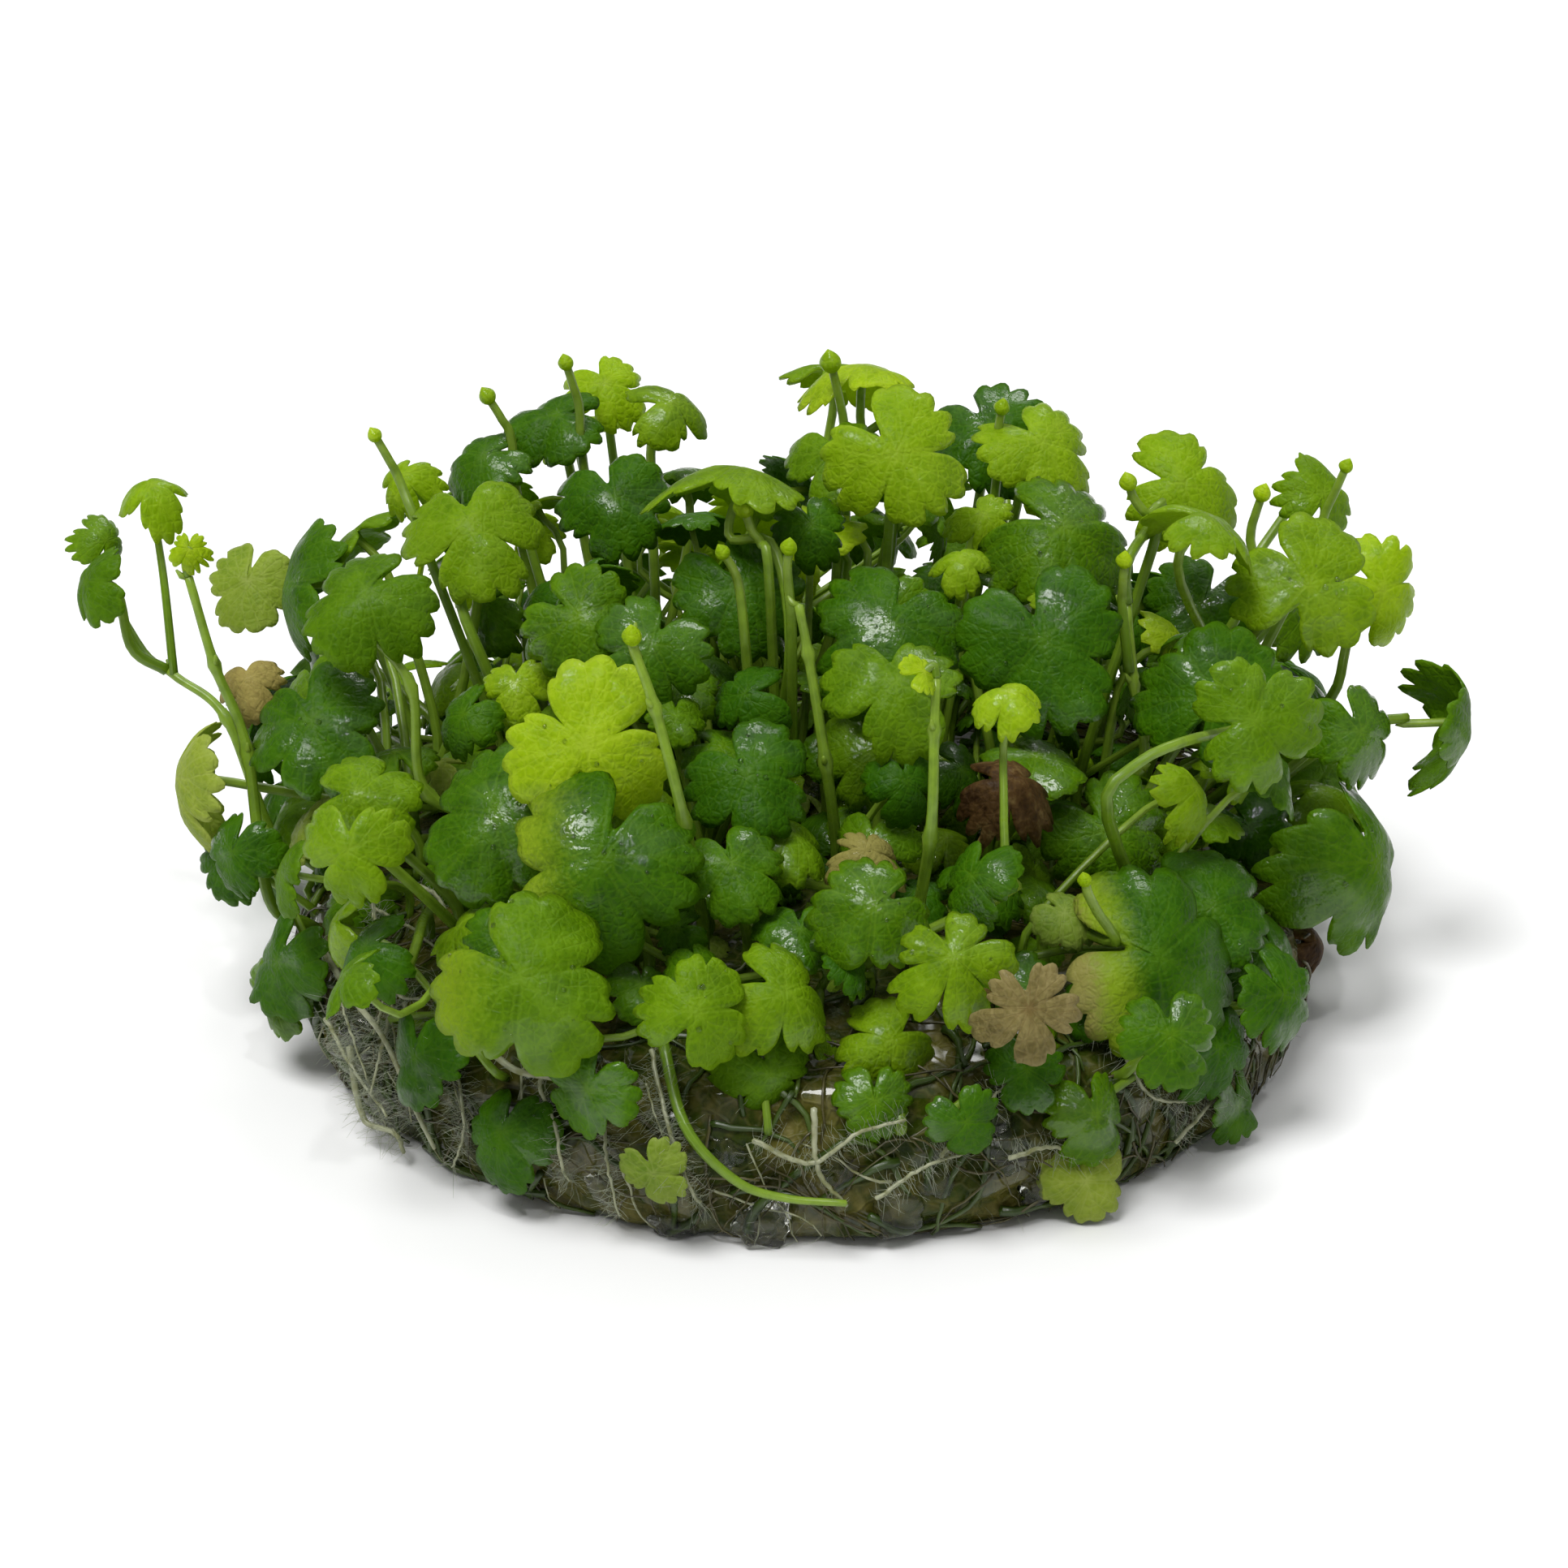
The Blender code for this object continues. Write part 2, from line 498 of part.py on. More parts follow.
def foot_on_mat(mat_tree, place, turn):
    """(foot, way out) of a stalk on the mat under a leaf at place: on top of the mat, or on its
    side for a leaf that hangs low outside it."""
    round_z = Matrix.Rotation(math.radians(turn), 3, "Z")
    level = round_z @ Vector((place.x, place.y, 0))
    outside = level.length > MAT_RADIUS - 4
    if outside and place.z < MAT_HEIGHT + 3:
        height = min(max(place.z * 0.8, 0.35 * MAT_HEIGHT), 0.75 * MAT_HEIGHT)
        start = level.normalized() * 2 * MAT_RADIUS + Vector((0, 0, height))
        hit, normal = mat_tree.ray_cast(start, -level.normalized())[:2]
        out = (normal + Vector((0, 0, 0.3))).normalized()
    else:
        inward = min(0.80, (MAT_RADIUS - 5.5) / max(level.length, 1e-6))
        start = level * inward + Vector((0, 0, 5 * MAT_HEIGHT))
        hit, normal = mat_tree.ray_cast(start, Vector((0, 0, -1)))[:2]
        out = (normal + 2 * Vector((0, 0, 1))).normalized()
    return hit + normal * (SEAT_GAP + 0.25 * PETIOLE_RADIUS), out


def foot_on_stem(stem, top, joint):
    """(foot, way out) of a stalk at the end of a stem, for joint 0, or beside it further down."""
    way = (stem[-1 - joint] - stem[-2 - joint]).normalized()
    if joint == 0:
        out = (way + 0.4 * (top - stem[-1]).normalized()).normalized()
        return stem[-1] + out * (SEAT_GAP + 0.2), out
    aside = top - stem[-1 - joint]
    aside = (aside - aside.dot(way) * way).normalized()
    foot = stem[-1 - joint] + aside * (1.35 * STEM_RADIUS + SEAT_GAP + PETIOLE_RADIUS)
    return foot, (aside + way).normalized()


def settle(asked, own, mat_tree, stem_lines, placed):
    """The first place, of those the settling may try, where the leaf clears its neighbours, as
    (leaf, stalk line, top of the stalk). It keeps its place as seen from the front, and own
    holds what its tuft has."""
    others = {name: tree for name, tree in placed.items() if name != asked.name}
    apart = {name: tree for name, tree in others.items() if name not in ("root_mat", asked.stem)}
    turns = JOINTS if asked.stem else FOOT_TURNS
    if own:
        turns = (0,)
    for shrink, turn, deeper in itertools.product(SHRINKS, turns, DEEPER):
        leaf = asked._replace(radius=asked.radius * shrink)
        across, up, deep = leaf.at
        top = seen(across, up, deep + deeper)
        if own:
            first = own[0][1]
            aside = top - own[0][2]
            aside -= aside.project(first[1] - first[0])
            out = ((first[1] - first[0]).normalized() + aside.normalized()).normalized()
            foot = first[0] + (first[1] - first[0]).normalized() * 0.5
        elif leaf.stem:
            foot, out = foot_on_stem(stem_lines[leaf.stem], top, turn)
        else:
            foot, out = foot_on_mat(mat_tree, top, turn)
        path = stalk_path(leaf, top, foot, out)
        near = thick_soup(path[:2], 2 * stalk_radius(leaf), [])
        sheets = blade_sheets(leaf, top, BLADE_THICKNESS / 2 + LEAF_GAP)
        far = thick_soup(path[1:], stalk_radius(leaf) + LEAF_GAP, sheets)
        if not (crosses_own(far, sheets, own) or touches(far, others) or touches(near, apart)):
            return leaf, path, top
    print("no clear place for", asked.name)
    return None


def crosses_own(far, sheets, own):
    """Whether a leaf crosses another of its tuft anywhere but where their stalks part."""
    blade = BVHTree.FromPolygons(*thick_soup([], 0, sheets))
    whole = BVHTree.FromPolygons(*far)
    for leaf, path, top in own:
        if blade.overlap(BVHTree.FromPolygons(*leaf_soup(leaf, path, top))):
            return True
        if whole.overlap(BVHTree.FromPolygons(*leaf_soup(leaf, [], top))):
            return True
    return False


def leaf_soup(leaf, path, top):
    return thick_soup(path, stalk_radius(leaf), blade_sheets(leaf, top, BLADE_THICKNESS / 2))


def join(obj, other):
    """Make other a hidden helper that is fused to obj."""
    other.hide_render = True
    other.display_type = "WIRE"
    step = obj.modifiers.new(other.name, "BOOLEAN")
    step.operation = "UNION"
    step.solver = "EXACT"
    step.use_self = True
    step.object = other


def build_tuft(name, parts, home, helpers):
    """The leaves of a tuft, joined into one solid."""
    base = None
    for number, (leaf, path, top) in enumerate(parts):
        size = 1.1 if len(parts) == 1 else 1.9 if number == 0 else 0.5
        bm = leaf_solid(leaf, path, top, size)
        if base is None:
            base = mesh_object(name, bm, leaf.tone, home)
        else:
            join(base, mesh_object(f"{name}_{number + 1}", bm, leaf.tone, helpers))
    shade(base)
    return base


def back_leaves():
    """The leaves of the hidden side, tuft after tuft round the back."""
    made = []
    for i in range(BACK_TUFTS):
        middle = BACK_FROM + (BACK_TO - BACK_FROM) * i / (BACK_TUFTS - 1)
        for k, spray in enumerate(BACK_SPRAY):
            bearing = middle + spray.swing * (1 if i % 2 else -1)
            reach = spray.reach - 2.0 * ((i + k) % 3)
            x = reach * math.cos(math.radians(bearing))
            y = reach * math.sin(math.radians(bearing))
            at = seen_from_place(x, y, spray.height + 1.5 * ((i * 2 + k) % 3))
            made.append(Leaf(f"leaves_back_{i + 1}", at, spray.radius, (90 + bearing, spray.lean),
                             30 * ((i + k) % 3 - 1), spray.tone, 0.24))
    return made


def seen_from_place(x, y, z):
    """The (across, up, deep) that a point in millimetres has: seen, the other way round."""
    eye = EYE_DISTANCE * Vector((0, -math.cos(LOOK_DOWN), math.sin(LOOK_DOWN)))
    look = -eye.normalized()
    ray = Vector((x, y, z)) - eye
    hit = eye + ray * (EYE_DISTANCE / ray.dot(look))
    up_way = Vector((0, math.sin(LOOK_DOWN), math.cos(LOOK_DOWN)))
    return hit.x, hit.dot(up_way), y


def build_stem(name, points, mat_tree, home):
    """A stem from the mat through its points, swollen at its end where stalks leave it."""
    places = [seen(*point) for point in points]
    foot, out = foot_on_mat(mat_tree, places[0], 0)
    line = smooth_path([foot + out * 0.2, foot + out * 3.5, *places[1:]], 6)
    way = (line[-1] - line[-2]).normalized()
    line = line[:-1] + [line[-1] - 0.9 * way, line[-1], line[-1] + 0.6 * way]
    radii = [STEM_RADIUS * share for share in (1.15, 1.1, 1.05, 1.0, 0.95, 0.95, 1.5, 0.7)]
    return tube(name, line, radii, "stem", home, 6), line


def build_trail(name, points, mat_tree, home):
    """A runner or a root that hangs over the front of the mat, just off it."""
    runner = name.startswith("runner")
    radius = STEM_RADIUS if runner else ROOT_RADIUS
    eye = EYE_DISTANCE * Vector((0, -math.cos(LOOK_DOWN), math.sin(LOOK_DOWN)))
    places = []
    for across, up in points:
        aim = seen(across, up, 0)
        hit, normal = mat_tree.ray_cast(eye, (aim - eye).normalized())[:2]
        if hit is None:
            hit, normal = mat_tree.find_nearest(seen(across, up, -0.7 * MAT_RADIUS))[:2]
        places.append(hit + normal * (radius + SEAT_GAP + 0.7))
    line = smooth_path(places, 8 if runner else 7)
    radii = [radius * (1.2 - 0.4 * k / len(line)) for k in range(len(line))]
    return tube(name, line, radii, "stem" if runner else "root", home, 6 if runner else 4)


def main():
    clear_scene()
    home = collection("tissue_culture_pennywort")
    helpers = collection("helpers")
    mat = build_mat(home)
    mat_tree = tree_of(mat)
    placed = {"root_mat": mat_tree}
    stem_lines = {}
    for name, points in STEMS.items():
        stem, stem_lines[name] = build_stem(name, points, mat_tree, home)
        placed[name] = tree_of(stem)
    for name, points in TRAILS.items():
        placed[name] = tree_of(build_trail(name, points, mat_tree, home))
    tufts = {}
    for leaf in LEAVES + back_leaves():
        own = tufts.setdefault(leaf.name, [])
        found = settle(leaf, own, mat_tree, stem_lines, placed)
        if found is None:
            continue
        own.append(found)
        points, faces = [], []
        for part in own:
            more = leaf_soup(*part)
            faces += [tuple(len(points) + k for k in face) for face in more[1]]
            points += more[0]
        placed[leaf.name] = BVHTree.FromPolygons(points, faces)
    for name, parts in tufts.items():
        if parts:
            build_tuft(name, parts, home, helpers)


main()
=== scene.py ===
import itertools
import math
import random
from collections import namedtuple

import bpy
import numpy as np
from mathutils import Matrix, Vector, noise
from mathutils.bvhtree import BVHTree
from mathutils.kdtree import KDTree


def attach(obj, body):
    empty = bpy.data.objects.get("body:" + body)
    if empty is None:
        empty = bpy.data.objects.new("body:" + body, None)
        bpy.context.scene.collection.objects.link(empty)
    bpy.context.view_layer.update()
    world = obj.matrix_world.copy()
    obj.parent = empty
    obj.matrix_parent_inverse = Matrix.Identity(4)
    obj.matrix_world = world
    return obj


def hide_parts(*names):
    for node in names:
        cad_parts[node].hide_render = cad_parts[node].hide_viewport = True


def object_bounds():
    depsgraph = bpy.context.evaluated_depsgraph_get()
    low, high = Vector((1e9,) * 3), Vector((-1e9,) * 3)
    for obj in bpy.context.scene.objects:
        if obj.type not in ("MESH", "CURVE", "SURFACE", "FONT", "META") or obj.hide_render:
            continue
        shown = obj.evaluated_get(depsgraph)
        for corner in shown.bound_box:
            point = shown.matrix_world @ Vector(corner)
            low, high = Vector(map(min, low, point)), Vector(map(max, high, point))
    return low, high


MM = 0.001

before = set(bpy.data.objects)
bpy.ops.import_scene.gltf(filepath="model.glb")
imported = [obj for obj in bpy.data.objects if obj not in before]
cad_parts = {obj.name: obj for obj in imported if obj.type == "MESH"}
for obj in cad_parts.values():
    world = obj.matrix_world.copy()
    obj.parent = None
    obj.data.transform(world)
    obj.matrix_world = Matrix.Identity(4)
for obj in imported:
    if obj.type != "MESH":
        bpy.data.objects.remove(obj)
CAD_LOW, CAD_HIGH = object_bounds()

# These sizes repeat the part's source.
MAT_RADIUS = 30.5
MAT_HEIGHT = 10.0
PETIOLE_RADIUS = 0.42
STEM_RADIUS = 0.52
ROOT_RADIUS = 0.32
SEAT_GAP = 0.3

# What the source tries until a leaf is clear of the others: how much deeper it goes, how far its
# foot turns round the mat in degrees, how many joints down its stem it starts, and how it shrinks.
DEEPER = (0, 1, -1, 2, -2, 3, -3, 4, -4, 5.5, -5.5, 7, -7)
FOOT_TURNS = (0, 14, -14, 30, -30, 50, -50)
JOINTS = (0, 1, 2, 3)
SHRINKS = (1.0, 0.85, 0.7)

# The photograph's frame: where the camera stands, which way its picture's up goes, its lens, and
# the point in its picture plane that the middle shows.
LOOK_DOWN = math.radians(26.0)
EYE_DISTANCE = 250.0
BACK_WAY = Vector((0, -math.cos(LOOK_DOWN), math.sin(LOOK_DOWN)))
UP_WAY = Vector((0, math.sin(LOOK_DOWN), math.cos(LOOK_DOWN)))
EYE = EYE_DISTANCE * BACK_WAY
SENSOR = 36.0
LENS = 93.17
AIM_ACROSS = -1.2
AIM_UP = 12.35

# The finer blades: half their thickness at the stalk and at the edge, the radius from which a
# leaf of the CAD gets the finest mesh, and the mesh of each grade.
BLADE_HALF = 0.13
RIM_HALF = 0.04
HERO_RADIUS = 4.6
Grade = namedtuple("Grade", "columns rows stalk_steps stalk_sides")
HERO = Grade(30, 10, 22, 10)
NEAR = Grade(25, 8, 18, 8)
FILL = Grade(15, 5, 11, 5)

# How deep the foot of a stalk that the CAD leaves out goes into the mat, and how many points the
# coarse line of a stalk has.
FOOT_DEPTH = 0.8
COARSE_STEPS = 7
STALK_FACES = 4 * (COARSE_STEPS - 1)

# The rings of a coarse blade, as shares of the way to its edge.
COARSE_RINGS = np.array([0.0, 0.55, 1.0])

# A leaf: at is its (across, up, deep) place in the photograph, faces the (heading, lean) of its
# upper side, spin the turn of its middle lobe, stem the stem that carries it, via the points that
# its stalk runs through, age how yellowed or dried it is and on which side in degrees, or WHOLE
# for all of it, and jag and ruffle the depth of its teeth and waves.
WHOLE = 1
Leaf = namedtuple("Leaf", "name at radius faces spin tone cup fold stem via lobes age jag ruffle",
                  defaults=(0.30, 0.0, None, (), 3, (0, 0), 0.13, 0.035))

# A stem rises from the mat through these points and swells where stalks leave it.
STEMS = {
    "stem_far_left": ((-31.5, 11.0, 1), (-35.6, 16.6, 4), (-38.8, 19.2, 6)),
    "stem_left": ((-31.5, 8.5, -7), (-34.4, 15.3, -4), (-36.3, 20.2, -3), (-37.8, 25.3, -2)),
    "stem_left_hook": ((-23.2, 8.0, -9), (-23.4, 12.7, -8), (-24.2, 19.0, -7), (-26.6, 22.4, -6)),
    "stem_budded": ((-8.0, 3.4, -22), (-7.6, 12.0, -21), (-9.3, 18.6, -19.5), (-10.7, 22.6, -18.5)),
    "stem_middle": ((2.2, 8.0, -13), (1.2, 15.1, -11), (0.2, 21.3, -9), (-0.3, 23.9, -8.5)),
    "stem_right_tall": ((21.5, 8.0, -7), (20.8, 14.2, -5), (20.3, 19.2, -4), (19.9, 23.6, -3)),
    "stem_sprout": ((8.7, 3.4, -23.5), (7.7, 11.0, -21.5), (7.9, 17.2, -20), (8.0, 19.9, -19)),
}

# A runner and roots hang over the front of the mat and keep just off it: (across, up).
TRAILS = {
    "runner_front": ((-8.8, -3.2), (-7.2, -6.9), (-4.2, -9.5), (-1.1, -10.7), (2.6, -11.0)),
    "root_left": ((-29.2, 3.0), (-27.0, 0.0), (-25.0, -2.8), (-23.0, -5.8), (-21.9, -8.3)),
    "root_hoop": ((-19.6, -2.4), (-17.5, -3.9), (-15.5, -4.4), (-12.8, -4.6), (-10.2, -4.3)),
}

LEAVES = [
    # The left side.
    Leaf("leaf_far_left", (-44.2, 25.1, 6), 3.0, (-60, 62), 60, "fresh", 0.25, 0.2,
         "stem_far_left", ((-41.4, 20.9, 6),)),
    Leaf("leaf_left_cap", (-40.2, 31.0, 9), 2.4, (0, 12), 30, "young", 0.50, 0.0,
         "stem_far_left", ((-39.4, 24.9, 8),)),
    Leaf("leaf_left_edge_on", (-31.9, 24.6, 10), 4.8, (-84, 76), 176, "mature", 0.12, 0.1),
    Leaf("leaf_left_tent", (-27.0, 25.1, -6), 4.3, (-10, 38), -38, "fresh", 0.30, 0.2,
         "stem_left_hook"),
    Leaf("leaf_left_gold", (-20.6, 29.0, 1), 4.6, (0, 44), 12, "young", 0.34, 0.3,
         None, ((-21.2, 24.3, 0), (-19.2, 19.0, -1))),
    Leaf("leaf_left_rolled", (-38.6, 13.4, -5), 4.4, (-82, 78), 0, "pale", 0.10, 0.6),
    Leaf("leaf_left_broad", (-30.4, 17.2, -5), 5.0, (-15, 42), 30, "mature", 0.22, 0.0),
    Leaf("leaves_left_low", (-27.6, 13.1, -17), 3.5, (0, 44), 84, "fresh", 0.38, 0.2),
    Leaf("leaves_left_low", (-28.2, 10.0, -21), 3.5, (-10, 66), 6, "young", 0.20, 0.1),
    Leaf("leaves_left_foot", (-32.4, 2.2, -17), 3.9, (-50, 78), -10, "mature", 0.15, 0.1),
    Leaf("leaves_left_foot", (-35.2, 9.0, -12), 2.8, (-40, 66), 0, "mature", 0.25, 0.0),
    # The front, from the left to the right.
    Leaf("leaf_front_shade", (-19.0, 11.8, -18), 5.4, (-15, 50), -36, "mature", 0.25, 0.0),
    Leaf("leaf_front_broad", (-12.6, 9.6, -24), 6.0, (0, 58), -22, "mature", 0.20, 0.1,
         age=(0.36, 202)),
    Leaf("leaf_front_drooping", (-17.6, 2.4, -28), 5.8, (-4, 54), 50, "fresh", 0.18, 0.1,
         age=(0.36, 130)),
    Leaf("leaf_foot_round", (-18.7, -7.6, -27.5), 3.4, (-30, 60), 0, "mature", 0.30, 0.0),
    Leaf("leaf_front_gold", (-13.6, 16.3, -23), 5.2, (3, 58), 168, "young", 0.16, 0.0),
    Leaf("leaf_front_crown", (-6.9, 0.3, -31), 3.5, (8, 56), 150, "fresh", 0.30, 0.0),
    Leaf("leaf_front_curled", (-1.4, 1.4, -28.5), 3.8, (30, 46), 40, "fresh", 0.30, 0.4,
         age=(0.24, 120)),
    Leaf("leaf_front_middle", (4.2, 6.6, -25), 3.7, (4, 48), -64, "mature", 0.28, 0.0),
    Leaf("leaf_middle_shade", (-3.6, 14.3, -16), 4.2, (0, 46), 34, "mature", 0.25, 0.0),
    Leaf("leaf_front_cross", (9.0, 3.6, -29), 3.9, (6, 46), 16, "fresh", 0.26, 0.0,
         None, (), 5),
    Leaf("leaf_front_tan", (13.7, 0.6, -30.5), 3.4, (4, 64), 10, "tan", 0.20, 0.0,
         None, (), 5),
    Leaf("leaf_front_two_tone", (21.6, 3.2, -23), 6.0, (14, 56), 66, "mature", 0.20, 0.1,
         age=(0.75, 114)),
    Leaf("leaf_foot_right", (17.8, -6.4, -28), 3.0, (28, 64), 0, "mature", 0.30, 0.0),
    Leaf("leaf_right_foot", (29.2, 2.4, -14), 4.4, (58, 70), 10, "mature", 0.20, 0.1),
    Leaf("leaf_right_low", (25.4, -2.6, -22), 3.4, (40, 66), -20, "mature", 0.25, 0.0),
    # The right side.
    Leaf("leaf_right_folded", (35.2, 8.2, -8), 5.8, (52, 70), 4, "mature", 0.16, 0.5,
         None, ((32.9, 8.6, -8), (29.0, 8.9, -8))),
    Leaf("leaf_far_right", (40.9, 16.5, 2), 4.4, (90, 88), 5, "mature", 0.16, 0.1,
         None, ((37.0, 16.7, 2), (33.2, 15.7, 1))),
    Leaf("leaf_right_star", (27.6, 17.6, -15), 4.4, (10, 58), 96, "fresh", 0.14, 0.0,
         None, ((23.2, 16.3, -16), (20.4, 15.0, -17.5), (18.5, 12.3, -18.5))),
    Leaf("leaf_right_middle", (25.2, 18.4, -8), 4.8, (6, 58), 150, "mature", 0.20, 0.0),
    Leaf("leaf_right_upper", (31.0, 25.2, 0), 5.2, (10, 54), 150, "fresh", 0.22, 0.0),
    Leaf("leaf_right_edge", (35.6, 24.6, 6), 3.7, (24, 62), 40, "young", 0.20, 0.0,
         None, ((33.3, 20.5, 5), (31.8, 17.0, 4))),
    Leaf("leaf_right_top", (23.2, 31.4, 5), 4.2, (12, 46), 66, "young", 0.34, 0.0,
         "stem_right_tall"),
    # The crown.
    Leaf("leaf_top_gold", (5.6, 33.3, 4), 4.9, (0, 56), 40, "young", 0.10, 0.3),
    Leaf("leaf_gloss_upper", (16.0, 28.6, 4), 5.2, (14, 40), 50, "mature", 0.26, 0.0),
    Leaf("leaf_gloss_lower", (14.6, 22.2, -7), 5.6, (4, 54), 14, "mature", 0.20, 0.0),
    Leaf("leaf_centre_broad", (5.2, 23.0, -6), 5.4, (0, 44), -24, "mature", 0.20, 0.0),
    Leaf("leaf_gold_bud", (12.5, 19.6, -18.5), 2.2, (10, 14), 20, "young", 0.62, 0.0,
         None, ((12.2, 12.0, -19.5), (12.0, 7.5, -21))),
    Leaf("leaf_top_underside", (-3.6, 32.3, 3), 5.4, (150, 30), 118, "fresh", 0.22, 0.1,
         None, ((-1.9, 27.6, 0), (-0.9, 20.5, -3))),
    Leaf("leaf_top_arch", (3.6, 38.2, 15), 4.0, (180, 16), 98, "young", 0.30, 0.2,
         None, ((5.0, 34.1, 14), (5.4, 27.0, 12))),
    Leaf("leaves_top_left", (-15.2, 35.0, 17), 3.6, (-20, 24), -60, "mature", 0.26, 0.0),
    Leaf("leaves_top_left", (-12.2, 36.8, 20), 3.0, (0, 40), 30, "young", 0.30, 0.0),
    Leaf("leaves_top_left", (-8.2, 35.9, 16), 3.2, (40, 30), 70, "fresh", 0.26, 0.2),
    Leaf("leaves_upper_left", (-19.6, 32.6, 13), 3.3, (-30, 36), -40, "mature", 0.26, 0.0),
    Leaf("leaves_upper_left", (-11.7, 30.2, 10), 4.0, (0, 44), 20, "mature", 0.22, 0.0),
    Leaf("leaves_upper_right", (11.4, 34.3, 16), 4.4, (0, 40), 30, "mature", 0.22, 0.0),
    Leaf("leaves_upper_right", (14.6, 33.6, 12), 4.2, (20, 38), 20, "young", 0.26, 0.0),
    Leaf("leaves_back_right", (32.0, 30.1, 16), 3.2, (30, 56), 150, "fresh", 0.20, 0.3),
    Leaf("leaves_back_right", (24.6, 23.6, 8), 4.2, (0, 50), -30, "mature", 0.22, 0.0),
    Leaf("leaves_left_middle", (-14.0, 23.6, -6), 4.0, (-10, 48), 60, "mature", 0.22, 0.0),
    Leaf("leaves_left_middle", (-9.4, 22.0, -9), 4.0, (6, 50), -30, "mature", 0.22, 0.0),
    Leaf("leaves_middle", (-4.0, 25.0, -1), 4.4, (0, 48), 30, "mature", 0.22, 0.0),
    Leaf("leaves_middle", (0.4, 29.0, 3), 3.6, (0, 50), 20, "mature", 0.26, 0.0),
]

# The side that the front view hides: tufts of three leaves, round the back from the right.
# reach is how far out a leaf stands, in millimetres, and swing how far it keeps from its tuft's
# bearing in degrees.
Spray = namedtuple("Spray", "reach height radius lean swing tone")
BACK_SPRAY = (
    Spray(36.5, 12.5, 4.2, 66, -9, "mature"),
    Spray(27.0, 27.5, 4.0, 26, 2, "young"),
    Spray(33.5, 21.5, 4.2, 46, 12, "fresh"),
)
BACK_TUFTS = 5
BACK_FROM, BACK_TO = 16.0, 160.0

